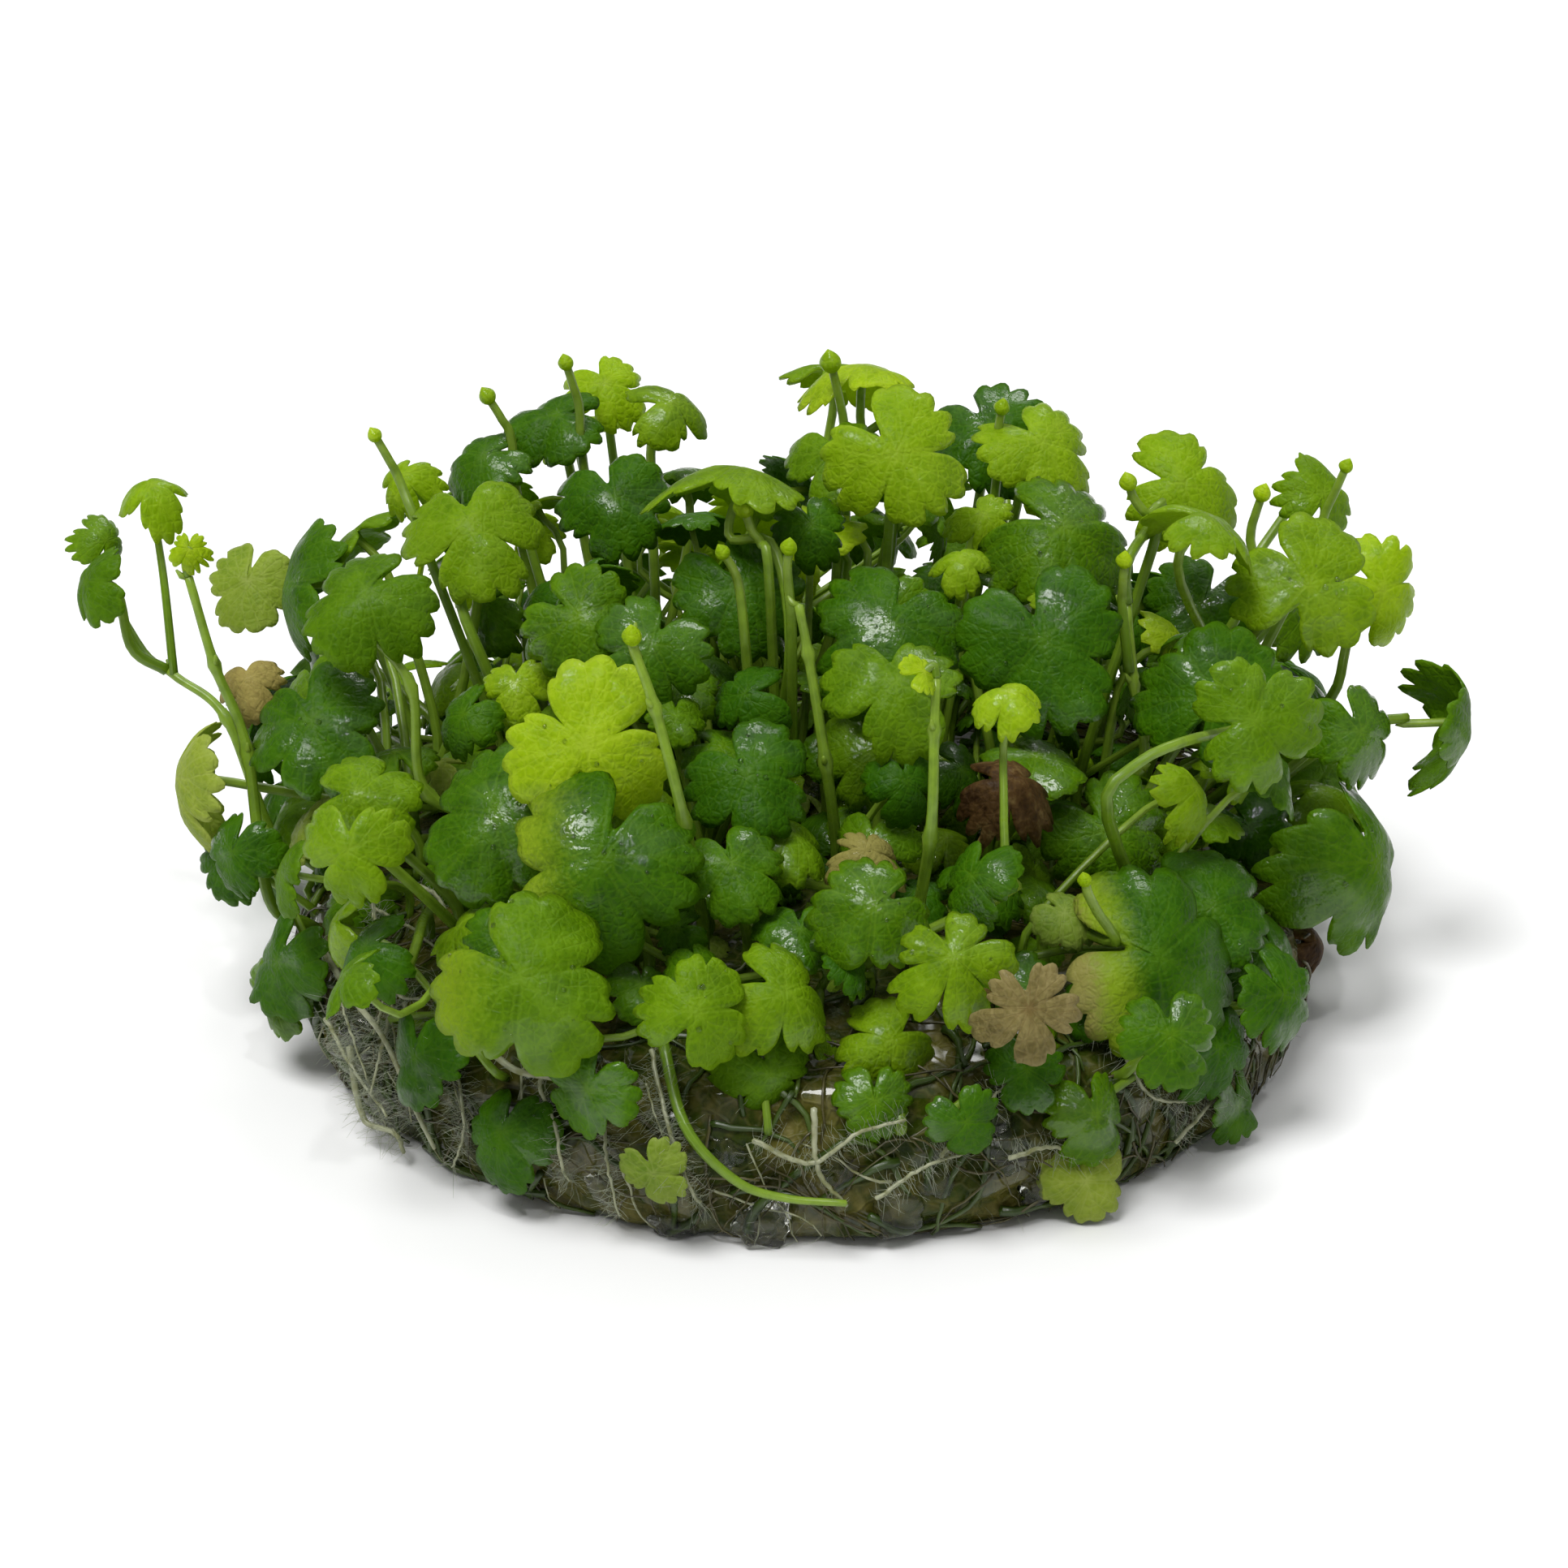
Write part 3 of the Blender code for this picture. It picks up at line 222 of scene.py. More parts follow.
# Leaves of the photograph that the CAD leaves out. The name is the piece that they go into.
EXTRAS = [
    Leaf("extra_left", (-43.0, 27.4, 7), 2.0, (40, 60), 150, "fresh", 0.4, 0.4,
         "stem_far_left"),
    Leaf("extra_left", (-37.9, 27.6, -2), 1.5, (0, 60), 0, "young", 0.1, 0.0,
         "stem_left", (), 5, (0, 0), 0.25),
    Leaf("extra_left", (-34.2, 24.6, 10), 3.3, (-20, 55), 0, "pale", 0.2, 0.0),
    Leaf("extra_left", (-24.7, 31.6, 4), 2.3, (-30, 40), 0, "young", 0.5, 0.0),
    Leaf("extra_left", (-34.3, 19.4, -2), 2.3, (-10, 40), 20, "tan", 0.5, 0.3,
         None, (), 3, (0.9, WHOLE)),
    Leaf("extra_left", (-35.6, 8.4, -8), 2.6, (-30, 50), 10, "mature", 0.3, 0.1),
    Leaf("extra_left", (-32.7, -0.1, -13), 2.8, (-40, 85), 0, "mature", 0.2, 0.1),
    Leaf("extra_front", (-24.0, -3.0, -23.0), 3.4, (-42, 82), 10, "mature", 0.1, 0.0),
    Leaf("extra_front", (-13.4, -4.6, -30.4), 3.3, (-22, 80), -20, "mature", 0.1, 0.0),
    Leaf("extra_front", (-9.4, -9.8, -31.6), 2.3, (-14, 84), 30, "pale", 0.1, 0.0),
    Leaf("extra_front", (26.6, -6.4, -20.0), 2.6, (44, 80), 0, "mature", 0.1, 0.0),
    Leaf("extra_front", (9.8, -6.6, -31.4), 2.4, (16, 78), 20, "mature", 0.2, 0.0),
    Leaf("extra_front", (-2.3, -3.8, -29), 2.9, (20, 70), 10, "fresh", 0.3, 0.2),
    Leaf("extra_front", (1.1, -3.9, -29), 2.3, (10, 60), 30, "fresh", 0.3, 0.1),
    Leaf("extra_front", (5.2, -1.8, -27), 3.2, (10, 50), -60, "fresh", 0.3, 0.2),
    Leaf("extra_front", (4.2, -5.4, -29), 2.5, (0, 60), 0, "mature", 0.2, 0.0),
    Leaf("extra_front", (-4.6, 9.0, -20), 3.4, (0, 40), 20, "mature", 0.3, 0.0),
    Leaf("extra_front", (3.6, 9.6, -20), 2.8, (10, 30), 60, "tan", 0.45, 0.2,
         None, (), 5, (0.8, WHOLE), 0.2, 0.12),
    Leaf("extra_dead", (12.4, 13.6, -14), 3.2, (10, 34), 60, "tan", 0.6, 0.2,
         None, (), 3, (1.2, WHOLE), 0.2, 0.12),
    Leaf("extra_dead", (31.4, 3.0, -6), 2.4, (50, 60), 60, "tan", 0.6, 0.4,
         None, (), 3, (1.2, WHOLE), 0.2, 0.12),
    Leaf("extra_front", (-8.0, 17.6, -12), 1.9, (0, 40), 0, "fresh", 0.3, 0.0),
    Leaf("extra_front", (13.6, -3.6, -28), 2.6, (0, 60), 0, "mature", 0.3, 0.0),
    Leaf("extra_front", (17.2, -10.6, -28), 2.8, (10, 75), 20, "pale", 0.2, 0.0),
    Leaf("extra_right", (25.0, 5.9, -17), 4.4, (10, 50), 160, "mature", 0.2, 0.0),
    Leaf("extra_right", (29.4, 0.6, -19), 3.6, (40, 60), 10, "mature", 0.2, 0.0),
    Leaf("extra_right", (22.4, -1.4, -25), 3.2, (10, 60), 0, "mature", 0.2, 0.0),
    Leaf("extra_right", (34.2, 16.2, 0), 3.4, (30, 60), 10, "mature", 0.2, 0.1),
    Leaf("extra_right", (18.6, 10.4, -13), 4.2, (0, 50), 40, "mature", 0.2, 0.0),
    Leaf("extra_top", (1.8, 33.0, 9), 3.6, (-10, 40), 20, "fresh", 0.2, 0.0),
    Leaf("extra_top", (9.6, 27.0, -3), 2.1, (0, 20), 0, "young", 0.6, 0.0),
    Leaf("extra_top", (11.0, 29.2, 3), 2.5, (0, 30), 30, "young", 0.3, 0.0),
    Leaf("extra_top", (5.2, 23.6, 2), 3.2, (0, 60), 0, "mature", 0.2, 0.0),
    Leaf("extra_top", (5.5, 19.9, -12), 4.6, (0, 40), 10, "fresh", 0.2, 0.0),
    Leaf("extra_top", (7.2, 20.9, -19), 1.5, (40, 40), 90, "young", 0.2, 0.0, "stem_sprout"),
    Leaf("extra_top", (-17.8, 19.4, -6), 2.4, (0, 40), 0, "young", 0.3, 0.2),
]

# Leaf buds: a radius, and the line of (across, up, deep) points from the bud down its stalk.
BUDS = (
    (0.75, ((1.7, 38.4, 12), (2.2, 36.2, 12), (2.5, 34.3, 12), (2.6, 30.0, 11))),
    (0.60, ((-19.4, 36.2, 14), (-18.6, 34.9, 14), (-18.0, 33.6, 14), (-17.4, 29.0, 13))),
    (0.60, ((28.2, 30.5, 6), (27.8, 29.3, 6), (27.5, 28.0, 6), (27.2, 24.0, 5))),
    (0.60, ((20.0, 31.5, 1), (20.3, 30.6, 1), (21.1, 29.6, 1), (21.9, 29.0, 2))),
    (0.55, ((19.7, 26.8, -3), (19.6, 25.2, -3), (19.6, 24.0, -3), (20.0, 20.0, -4))),
    (0.70, ((-3.7, 30.0, -1), (-3.2, 28.6, -1), (-2.7, 27.9, -1), (-2.2, 26.0, -2))),
    (0.50, ((-5.0, 27.4, -4), (-4.4, 26.4, -4), (-4.0, 25.0, -4), (-3.6, 21.0, -5))),
    (0.55, ((-1.0, 27.8, -6), (-1.1, 26.6, -6), (-1.0, 25.2, -6), (-0.8, 22.0, -6))),
    (0.62, ((-10.7, 23.0, -18.5), (-10.6, 22.3, -18.5), (-10.4, 21.8, -18.4))),
    (0.45, ((17.2, 8.0, -24), (17.4, 7.2, -24), (18.0, 6.0, -23.5), (19.0, 4.0, -22))),
    (0.55, ((-14.6, 38.2, 16), (-14.2, 36.9, 16), (-13.8, 35.4, 16), (-13.4, 31.0, 15))),
    (0.50, ((-26.4, 34.2, 6), (-25.6, 32.8, 6), (-24.9, 31.4, 6), (-23.2, 27.0, 4))),
    (0.55, ((12.2, 35.6, 12), (12.0, 34.4, 12), (11.9, 33.0, 12), (11.6, 29.0, 11))),
    (0.50, ((33.4, 31.8, 14), (32.7, 30.2, 14), (32.0, 28.6, 14), (30.6, 24.0, 13))),
)


def seen(across, up, deep):
    """The point that shows at (across, up) in the photograph and lies deep behind the middle."""
    ray = across * Vector((1, 0, 0)) + up * UP_WAY - EYE
    return EYE + ray * ((deep - EYE.y) / ray.y)


def seen_from_place(x, y, z):
    """The (across, up, deep) that a point has: seen, the other way round."""
    ray = Vector((x, y, z)) - EYE
    hit = EYE + ray * (EYE_DISTANCE / ray.dot(-EYE.normalized()))
    return hit.x, hit.dot(UP_WAY), y


def polar(bearing, reach, height):
    """The (x, y, z) of a place at a bearing in degrees."""
    turn = math.radians(bearing)
    return reach * math.cos(turn), reach * math.sin(turn), height


def cross_ways(way):
    """Two ways at right angles to a way and to each other."""
    one = way.orthogonal().normalized()
    return one, way.cross(one)


def smooth_path(points, count):
    """count points along a smooth curve, a Catmull-Rom spline, through the given ones."""
    ends = [2 * points[0] - points[1], *points, 2 * points[-1] - points[-2]]
    path = []
    for i in range(count):
        at = i / (count - 1) * (len(points) - 1)
        k = min(int(at), len(points) - 2)
        t = at - k
        a, b, c, d = ends[k:k + 4]
        path.append(0.5 * (2 * b + (c - a) * t + (2 * a - 5 * b + 4 * c - d) * t ** 2
                           + (3 * b - a - 3 * c + d) * t ** 3))
    return path


class Graph:
    """A material's node tree, written line by line."""

    def __init__(self, name):
        self.material = bpy.data.materials.new(name)
        self.material.use_nodes = True
        self.tree = self.material.node_tree
        self.shader = self.tree.nodes["Principled BSDF"]
        self.output = self.tree.nodes["Material Output"]

    def node(self, kind, *inputs, **named):
        """A node. The names with a capital are its sockets and the others its settings."""
        made = self.tree.nodes.new("ShaderNode" + kind)
        for name, value in named.items():
            if name[0].isupper():
                self.put(made.inputs[name], value)
            else:
                setattr(made, name, value)
        for place, value in enumerate(inputs):
            self.put(made.inputs[place], value)
        return made

    def put(self, socket, value):
        """A link to the socket, or a value set on it."""
        if isinstance(value, bpy.types.NodeSocket):
            self.tree.links.new(value, socket)
        else:
            socket.default_value = value

    def math(self, operation, *inputs):
        return self.node("Math", *inputs, operation=operation).outputs[0]

    def vector(self, operation, *inputs):
        made = self.node("VectorMath", *inputs, operation=operation)
        return made.outputs["Value" if operation in ("DOT_PRODUCT", "LENGTH") else "Vector"]

    def split(self, vector):
        return self.node("SeparateXYZ", vector).outputs

    def attribute(self, name):
        return self.node("Attribute", attribute_name=name).outputs["Vector"]

    def place(self):
        """Where a point is, in millimetres."""
        where = self.node("TexCoord").outputs["Object"]
        made = self.node("VectorMath", where, operation="SCALE", Scale=1 / MM)
        return made.outputs["Vector"]

    def noise(self, where, scale, detail=2.0):
        return self.node("TexNoise", Vector=where, Scale=scale, Detail=detail).outputs["Fac"]

    def cells(self, where, scale):
        """How far a point is from the walls of a net of cells."""
        made = self.node("TexVoronoi", feature="DISTANCE_TO_EDGE", Vector=where, Scale=scale)
        return made.outputs["Distance"]

    def spread(self, value, low, high, start=0.0, end=1.0, smooth=True):
        """value from low to high, as a number from start to end."""
        made = self.node("MapRange", value, low, high, start, end)
        made.interpolation_type = "SMOOTHSTEP" if smooth else "LINEAR"
        return made.outputs["Result"]

    def mix(self, share, one, two):
        """Two colours in one, two by share."""
        one, two = (colour if isinstance(colour, bpy.types.NodeSocket) else (*colour, 1)
                    for colour in (one, two))
        made = self.node("Mix", data_type="RGBA", Factor=share, A=one, B=two)
        return made.outputs["Result"]

    def ramp(self, value, *stops):
        made = self.node("ValToRGB", value)
        elements = made.color_ramp.elements
        while len(elements) < len(stops):
            elements.new(0.5)
        for element, (place, colour) in zip(elements, stops):
            element.position = place
            element.color = (*colour, 1)
        return made.outputs["Color"]

    def bump(self, height, strength, distance, socket="Normal"):
        made = self.node("Bump", Strength=strength, Distance=distance * MM, Height=height)
        self.put(self.shader.inputs[socket], made.outputs["Normal"])
        return made.outputs["Normal"]

    def paint(self, colour, grain, smooth, rough):
        """The colour, and a roughness from smooth to rough that changes with the grain."""
        self.put(self.shader.inputs["Base Color"], colour)
        self.put(self.shader.inputs["Roughness"], self.spread(grain, 0.3, 0.7, smooth, rough))

    def set(self, **values):
        """The shader's inputs, by their names in small letters."""
        for name, value in values.items():
            socket = name.replace("_", " ").title().replace("Ior", "IOR")
            self.put(self.shader.inputs[socket], value)

    def shine_through(self, colour, share, normal):
        """Mix in light that comes through from behind."""
        through = self.node("BsdfTranslucent", Color=colour, Normal=normal)
        mixed = self.node("MixShader", share, self.shader.outputs[0], through.outputs[0])
        self.tree.links.new(mixed.outputs[0], self.output.inputs["Surface"])


# The veins beside the middle of a lobe: (from, to, half width), as shares of the leaf's radius.
VEINS = (
    ((0.0, 0.0), (1.0, 0.0), 0.024),
    ((0.16, 0.0), (0.80, 0.40), 0.014),
    ((0.03, 0.0), (0.52, 0.66), 0.017),
    ((0.42, 0.0), (0.94, 0.20), 0.010),
    ((0.34, 0.20), (0.55, 0.42), 0.008),
)


def vein_mask(g, along, across):
    """1 on a vein and 0 beside it."""
    here = g.node("CombineXYZ", along, across, 0.0).outputs[0]
    found = None
    for (ax, ay), (bx, by), width in VEINS:
        way = Vector((bx - ax, by - ay, 0))
        off = g.vector("SUBTRACT", here, (ax, ay, 0))
        share = g.math("DIVIDE", g.vector("DOT_PRODUCT", off, tuple(way)), way.length_squared)
        share = g.node("Clamp", share).outputs[0]
        nearest = g.node("VectorMath", tuple(way), operation="SCALE", Scale=share)
        far = g.vector("LENGTH", g.vector("SUBTRACT", off, nearest.outputs["Vector"]))
        mask = g.spread(far, width * 0.35, width * 1.5, 1.0, 0.0)
        found = mask if found is None else g.math("MAXIMUM", found, mask)
    return found


# The slot of each kind of leaf and its look: deep, main and bright are one leaf's own shades, vein
# its veins and through the light that comes through it, by share.
Tone = namedtuple("Tone", "slot deep main bright vein through share roughness coat")
TONES = {
    "young": Tone("leaf_young", (0.17, 0.30, 0.002), (0.29, 0.46, 0.004), (0.46, 0.63, 0.03),
                  (0.42, 0.58, 0.04), (0.66, 0.84, 0.010), 0.46, 0.40, 0.50),
    "fresh": Tone("leaf_fresh", (0.072, 0.160, 0.001), (0.13, 0.26, 0.002), (0.22, 0.39, 0.008),
                  (0.22, 0.38, 0.02), (0.38, 0.60, 0.006), 0.40, 0.40, 0.70),
    "mature": Tone("leaf_mature", (0.024, 0.080, 0.001), (0.050, 0.145, 0.001),
                   (0.092, 0.215, 0.002), (0.11, 0.23, 0.006), (0.21, 0.44, 0.003), 0.26, 0.40,
                   0.95),
    "pale": Tone("leaf_pale", (0.16, 0.26, 0.02), (0.27, 0.37, 0.035), (0.40, 0.49, 0.10),
                 (0.42, 0.50, 0.12), (0.46, 0.60, 0.06), 0.40, 0.46, 0.06),
    "tan": Tone("leaf_dry", (0.090, 0.075, 0.020), (0.22, 0.185, 0.060), (0.37, 0.31, 0.13),
                (0.17, 0.11, 0.035), (0.44, 0.33, 0.11), 0.34, 0.55, 0.08),
}
YELLOWED, DRIED = (0.30, 0.42, 0.015), (0.34, 0.30, 0.08)


def leaf_finish(tone):
    """Cellular leaf skin with palmate veins, paler below, a lighter edge that is partly painted rim
    highlight, wet and shining through.
    """
    skin = TONES[tone]
    g = Graph(f"{skin.slot}_skin")
    where = g.place()
    along, across, share = g.split(g.attribute("lobe"))
    age, tint, below = g.split(g.attribute("look"))
    veins = vein_mask(g, along, across)
    mottle = g.noise(where, 0.55, 3.0)
    grain = g.noise(where, 3.2, 4.0)
    cells = g.spread(g.cells(where, 1.9), 0.02, 0.22)
    blotch = g.math("ADD", g.math("MULTIPLY", mottle, 0.65), g.math("MULTIPLY", grain, 0.35))
    colour = g.ramp(blotch, (0.30, skin.deep), (0.52, skin.main), (0.78, skin.bright))
    colour = g.mix(g.spread(cells, 0.0, 1.0, 0.22, 0.0), colour, skin.bright)
    # The blade's edge is lighter: partly the margin's own paler colour, partly a painted rim
    # highlight.
    colour = g.mix(g.spread(share, 0.82, 1.0, 0.0, 0.5), colour, skin.bright)
    colour = g.mix(g.spread(share, 0.0, 0.25, 0.45, 0.0), colour, skin.vein)
    colour = g.mix(g.math("MULTIPLY", veins, 0.26), colour, skin.vein)
    colour = g.mix(g.math("MULTIPLY", below, 0.45), colour, skin.vein)
    worn = g.math("ADD", age, g.math("MULTIPLY", g.math("SUBTRACT", grain, 0.5), 0.25))
    colour = g.mix(g.spread(worn, 0.06, 0.46), colour, YELLOWED)
    colour = g.mix(g.spread(worn, 0.42, 0.72), colour, DRIED)
    browned = g.ramp(blotch, (0.36, (0.030, 0.014, 0.004)), (0.52, (0.11, 0.060, 0.018)),
                     (0.66, (0.24, 0.17, 0.06)))
    colour = g.mix(g.spread(worn, 0.86, 1.10), colour, browned)
    hue = g.spread(tint, -1.0, 1.0, 0.514, 0.488, smooth=False)
    value = g.spread(tint, -1.0, 1.0, 0.74, 1.26, smooth=False)
    colour = g.node("HueSaturation", Hue=hue, Value=value, Color=colour).outputs["Color"]
    g.paint(colour, grain, skin.roughness - 0.07, skin.roughness + 0.12)
    height = g.math("SUBTRACT", g.math("MULTIPLY", cells, 0.3), g.math("MULTIPLY", veins, 0.15))
    height = g.math("ADD", height, g.math("MULTIPLY", grain, 0.8))
    height = g.math("ADD", height, mottle)
    normal = g.bump(height, 0.55, 0.17)
    g.bump(g.noise(where, 2.2, 3.0), 0.6, 0.16, "Coat Normal")
    wet = g.math("ADD", g.noise(where, 0.26, 2.0), g.math("MULTIPLY", tint, 0.03))
    g.set(coat_weight=g.spread(wet, 0.48, 0.62, 0.04, skin.coat), coat_roughness=0.08,
          specular_ior_level=0.10)
    g.shine_through(g.mix(0.6, colour, skin.through), skin.share, normal)
    return g.material


def stalk_finish(name, low, high, share):
    """Green stalks, paler towards the top, with faint lengthwise streaks."""
    g = Graph(name)
    along, around, _ = g.split(g.attribute("lobe"))
    where = g.place()
    grain = g.noise(where, 1.4, 3.0)
    streaks = g.math("SINE", g.math("MULTIPLY", around, 14 * math.pi))
    colour = g.mix(g.spread(along, 0.0, 1.0), low, high)
    colour = g.mix(g.spread(grain, 0.35, 0.75, 0.0, 0.5), colour, tuple(0.62 * c for c in low))
    colour = g.mix(g.spread(streaks, 0.4, 1.0, 0.0, 0.25), colour, high)
    g.paint(colour, grain, 0.26, 0.42)
    normal = g.bump(g.math("ADD", g.math("MULTIPLY", streaks, 0.3), grain), 0.35, 0.06)
    g.set(coat_weight=0.25, coat_roughness=0.15)
    g.shine_through(g.mix(0.5, colour, (0.45, 0.60, 0.06)), share, normal)
    return g.material


def root_finish(name, pale, dark, share):
    """Wet roots, pale with darker stretches."""
    g = Graph(name)
    where = g.place()
    grain = g.noise(where, 1.1, 3.0)
    colour = g.mix(g.spread(grain, 0.42, 0.72), pale, dark)
    g.paint(colour, grain, 0.25, 0.5)
    normal = g.bump(g.noise(where, 5.0, 2.0), 0.3, 0.05)
    g.set(coat_weight=0.2, coat_roughness=0.2)
    g.shine_through(g.mix(0.5, colour, pale), share, normal)
    return g.material


def mat_finish():
    """Wet matted roots and old stems in clear gel: brown and olive patches under a gloss."""
    g = Graph("root_mat_skin")
    where = g.place()
    patch = g.noise(where, 0.22, 4.0)
    grain = g.noise(where, 1.3, 5.0)
    strand = g.spread(g.cells(where, 0.9), 0.0, 0.16)
    colour = g.ramp(g.math("ADD", g.math("MULTIPLY", patch, 0.6), g.math("MULTIPLY", grain, 0.4)),
                    (0.32, (0.008, 0.020, 0.001)), (0.46, (0.028, 0.042, 0.002)),
                    (0.56, (0.072, 0.068, 0.009)), (0.70, (0.16, 0.14, 0.038)))
    colour = g.mix(g.spread(strand, 0.0, 1.0, 0.2, 0.0), colour, (0.16, 0.15, 0.045))
    g.paint(colour, grain, 0.20, 0.5)
    g.bump(g.math("SUBTRACT", grain, g.math("MULTIPLY", strand, 0.5)), 0.6, 0.28)
    g.set(coat_weight=g.spread(g.noise(where, 0.35), 0.46, 0.58, 0.05, 0.9),
          coat_roughness=0.06, specular_ior_level=0.1)
    return g.material


def water_finish():
    """Clear water and gel."""
    g = Graph("clear_gel")
    grain = g.noise(g.place(), 1.5, 2.0)
    g.paint(g.mix(grain, (0.96, 0.97, 0.93), (0.90, 0.93, 0.84)), grain, 0.02, 0.10)
    g.set(transmission_weight=1.0, ior=1.33)
    return g.material


def floor_finish():
    """The plain card under the clump."""
    g = Graph("floor_card")
    grain = g.noise(g.place(), 0.02, 2.0)
    g.put(g.shader.inputs["Base Color"], g.mix(grain, (0.86, 0.86, 0.86), (0.88, 0.88, 0.88)))
    g.set(roughness=0.8)
    return g.material


class Shape:
    """The points and faces of one piece, in millimetres, with each face's material and what the
    finishes read at each point. On a blade lobe is (along, across, share): the place beside the
    middle vein of its lobe, and the share of the way from the stalk to the edge. On a tube it is
    (share of the length, share of the way round). look is (age, tint, 1 on an underside)."""

    def __init__(self):
        self.points, self.lobe, self.look = [], [], []
        self.faces, self.finish = [], []
        self.count = 0
        self.materials = []

    def add(self, points, faces, material, lobe=(0, 0, 0), look=(0, 0, 0)):
        """faces are groups of triangles or quads, lobe and look one reading or one per point."""
        if material not in self.materials:
            self.materials.append(material)
        self.points.append(np.asarray(points, float))
        self.lobe.append(np.broadcast_to(np.asarray(lobe, float), (len(points), 3)))
        self.look.append(np.broadcast_to(np.asarray(look, float), (len(points), 3)))
        for group in faces:
            self.faces.append(np.asarray(group) + self.count)
            self.finish.append(np.full(len(group), self.materials.index(material)))
        self.count += len(points)

    def piece(self, name, slot, *nodes):
        """The finished piece, riding on the part, in place of the CAD nodes given."""
        points = np.vstack(self.points) * MM
        mesh = bpy.data.meshes.new(name)
        sizes = np.concatenate([np.full(len(g), g.shape[1]) for g in self.faces])
        corners = np.concatenate([g.ravel() for g in self.faces])
        mesh.vertices.add(len(points))
        mesh.vertices.foreach_set("co", points.ravel())
        mesh.loops.add(len(corners))
        mesh.loops.foreach_set("vertex_index", corners.astype(np.int32))
        mesh.polygons.add(len(sizes))
        starts = np.concatenate(([0], np.cumsum(sizes)[:-1]))
        mesh.polygons.foreach_set("loop_start", starts.astype(np.int32))
        mesh.polygons.foreach_set("material_index", np.concatenate(self.finish).astype(np.int32))
        mesh.update(calc_edges=True)
        for label, values in (("lobe", self.lobe), ("look", self.look)):
            layer = mesh.attributes.new(label, "FLOAT_VECTOR", "POINT")
            layer.data.foreach_set("vector", np.vstack(values).astype(np.float32).ravel())
        for material in self.materials:
            mesh.materials.append(material)
        mesh.shade_smooth()
        mesh.validate()
        obj = bpy.data.objects.new(name, mesh)
        bpy.context.scene.collection.objects.link(obj)
        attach(obj, "root")
        if nodes:
            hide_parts(*nodes)


def ringed(rings, sides, climbing=False):
    """The faces of a closed form: its first point, rings of sides points each, its last point.
    climbing is for rings that turn right-handed round the way from the first point to the last."""
    around = np.arange(sides)
    after = (around + 1) % sides
    low = 1 + np.arange(rings - 1)[:, None] * sides + around
    high = 1 + np.arange(rings - 1)[:, None] * sides + after
    quads = np.stack([low, low + sides, high + sides, high], -1).reshape(-1, 4)
    first = np.stack([np.zeros(sides, int), 1 + around, 1 + after], -1)
    edge = 1 + (rings - 1) * sides
    last = np.stack([np.full(sides, edge + sides), edge + after, edge + around], -1)
    ends = np.vstack([first, last])
    return [quads[:, [0, 3, 2, 1]], ends[:, ::-1]] if climbing else [quads, ends]


def closed(rings, sides, point):
    """The points of a closed form in ringed()'s order: point(share of the way from the first to
    the last, turn)."""
    spots = [point(0, 0)]
    for ring in range(1, rings + 1):
        spots += [point(ring / (rings + 1), math.tau * side / sides) for side in range(sides)]
    return [tuple(spot) for spot in [*spots, point(1, 0)]]


def unit(vectors):
    """Vectors made one long."""
    return vectors / np.maximum(np.linalg.norm(vectors, axis=-1, keepdims=True), 1e-9)


def add_tube(shape, path, radii, sides, material, look=(0, 0, 0), along=(0.0, 1.0)):
    """A round tube along path, with blunt ends. along is the span of its share of the length."""
    path = np.array([tuple(p) for p in path], float)
    radii = np.asarray(radii, float)
    ways = unit(np.gradient(path, axis=0))
    side = np.array(Vector(ways[0]).orthogonal().normalized())
    angles = np.linspace(0, math.tau, sides, endpoint=False)
    rings = []
    for place, way, radius in zip(path, ways, radii):
        side = side - way * side.dot(way)
        side /= max(np.linalg.norm(side), 1e-9)
        other = np.cross(way, side)
        rings.append(place + radius * (np.cos(angles)[:, None] * side
                                       + np.sin(angles)[:, None] * other))
    points = np.vstack([path[0] - ways[0] * radii[0] * 0.5, *rings,
                        path[-1] + ways[-1] * radii[-1] * 0.5])
    count = len(path)
    lobe = np.zeros((len(points), 3))
    lobe[1:-1, 0] = np.repeat(np.linspace(*along, count), sides)
    lobe[1:-1, 1] = np.tile(np.arange(sides) / sides, count)
    lobe[[0, -1], 0] = along
    shape.add(points, ringed(count, sides, climbing=True), material, lobe, look)


def blade_axes(leaf):
    """The blade's frame: the middle lobe's way, the way to its side, and its upper side."""
    heading, lean = (math.radians(a) for a in leaf.faces)
    level = Vector((math.sin(heading), -math.cos(heading), 0))
    up = math.sin(lean) * level + math.cos(lean) * Vector((0, 0, 1))
    down = math.cos(lean) * level - math.sin(lean) * Vector((0, 0, 1))
    side = up.cross(down)
    turn = math.radians(leaf.spin)
    ahead = math.cos(turn) * down + math.sin(turn) * side
    return ahead, up.cross(ahead), up


# Half the width of one of three lobes in degrees. The veins of five lobes are drawn as wide.
LOBE_HALF = 56


def lobes_of(leaf):
    """(middles in degrees, half width in degrees, reaches) of the lobes."""
    if leaf.lobes == 3:
        return (-112, 0, 112), LOBE_HALF, (0.92, 1.0, 0.92)
    return (-136, -68, 0, 68, 136), 34, (0.78, 0.94, 1.0, 0.94, 0.78)


# The share of the radius that the clefts leave, from the least to the most: between three lobes
# by tone, and between five.
NOTCHES = {"young": (0.34, 0.54), "fresh": (0.40, 0.60), "mature": (0.50, 0.70),
           "pale": (0.50, 0.66), "tan": (0.42, 0.60)}
FIVE_NOTCHES = (0.30, 0.42)

# The stalk's cleft: where it starts in degrees, and its (angle, reach) columns.
CLEFT_FROM = 168
CLEFT = ((172, 0.34), (177, 0.28), (183, 0.28), (188, 0.34))


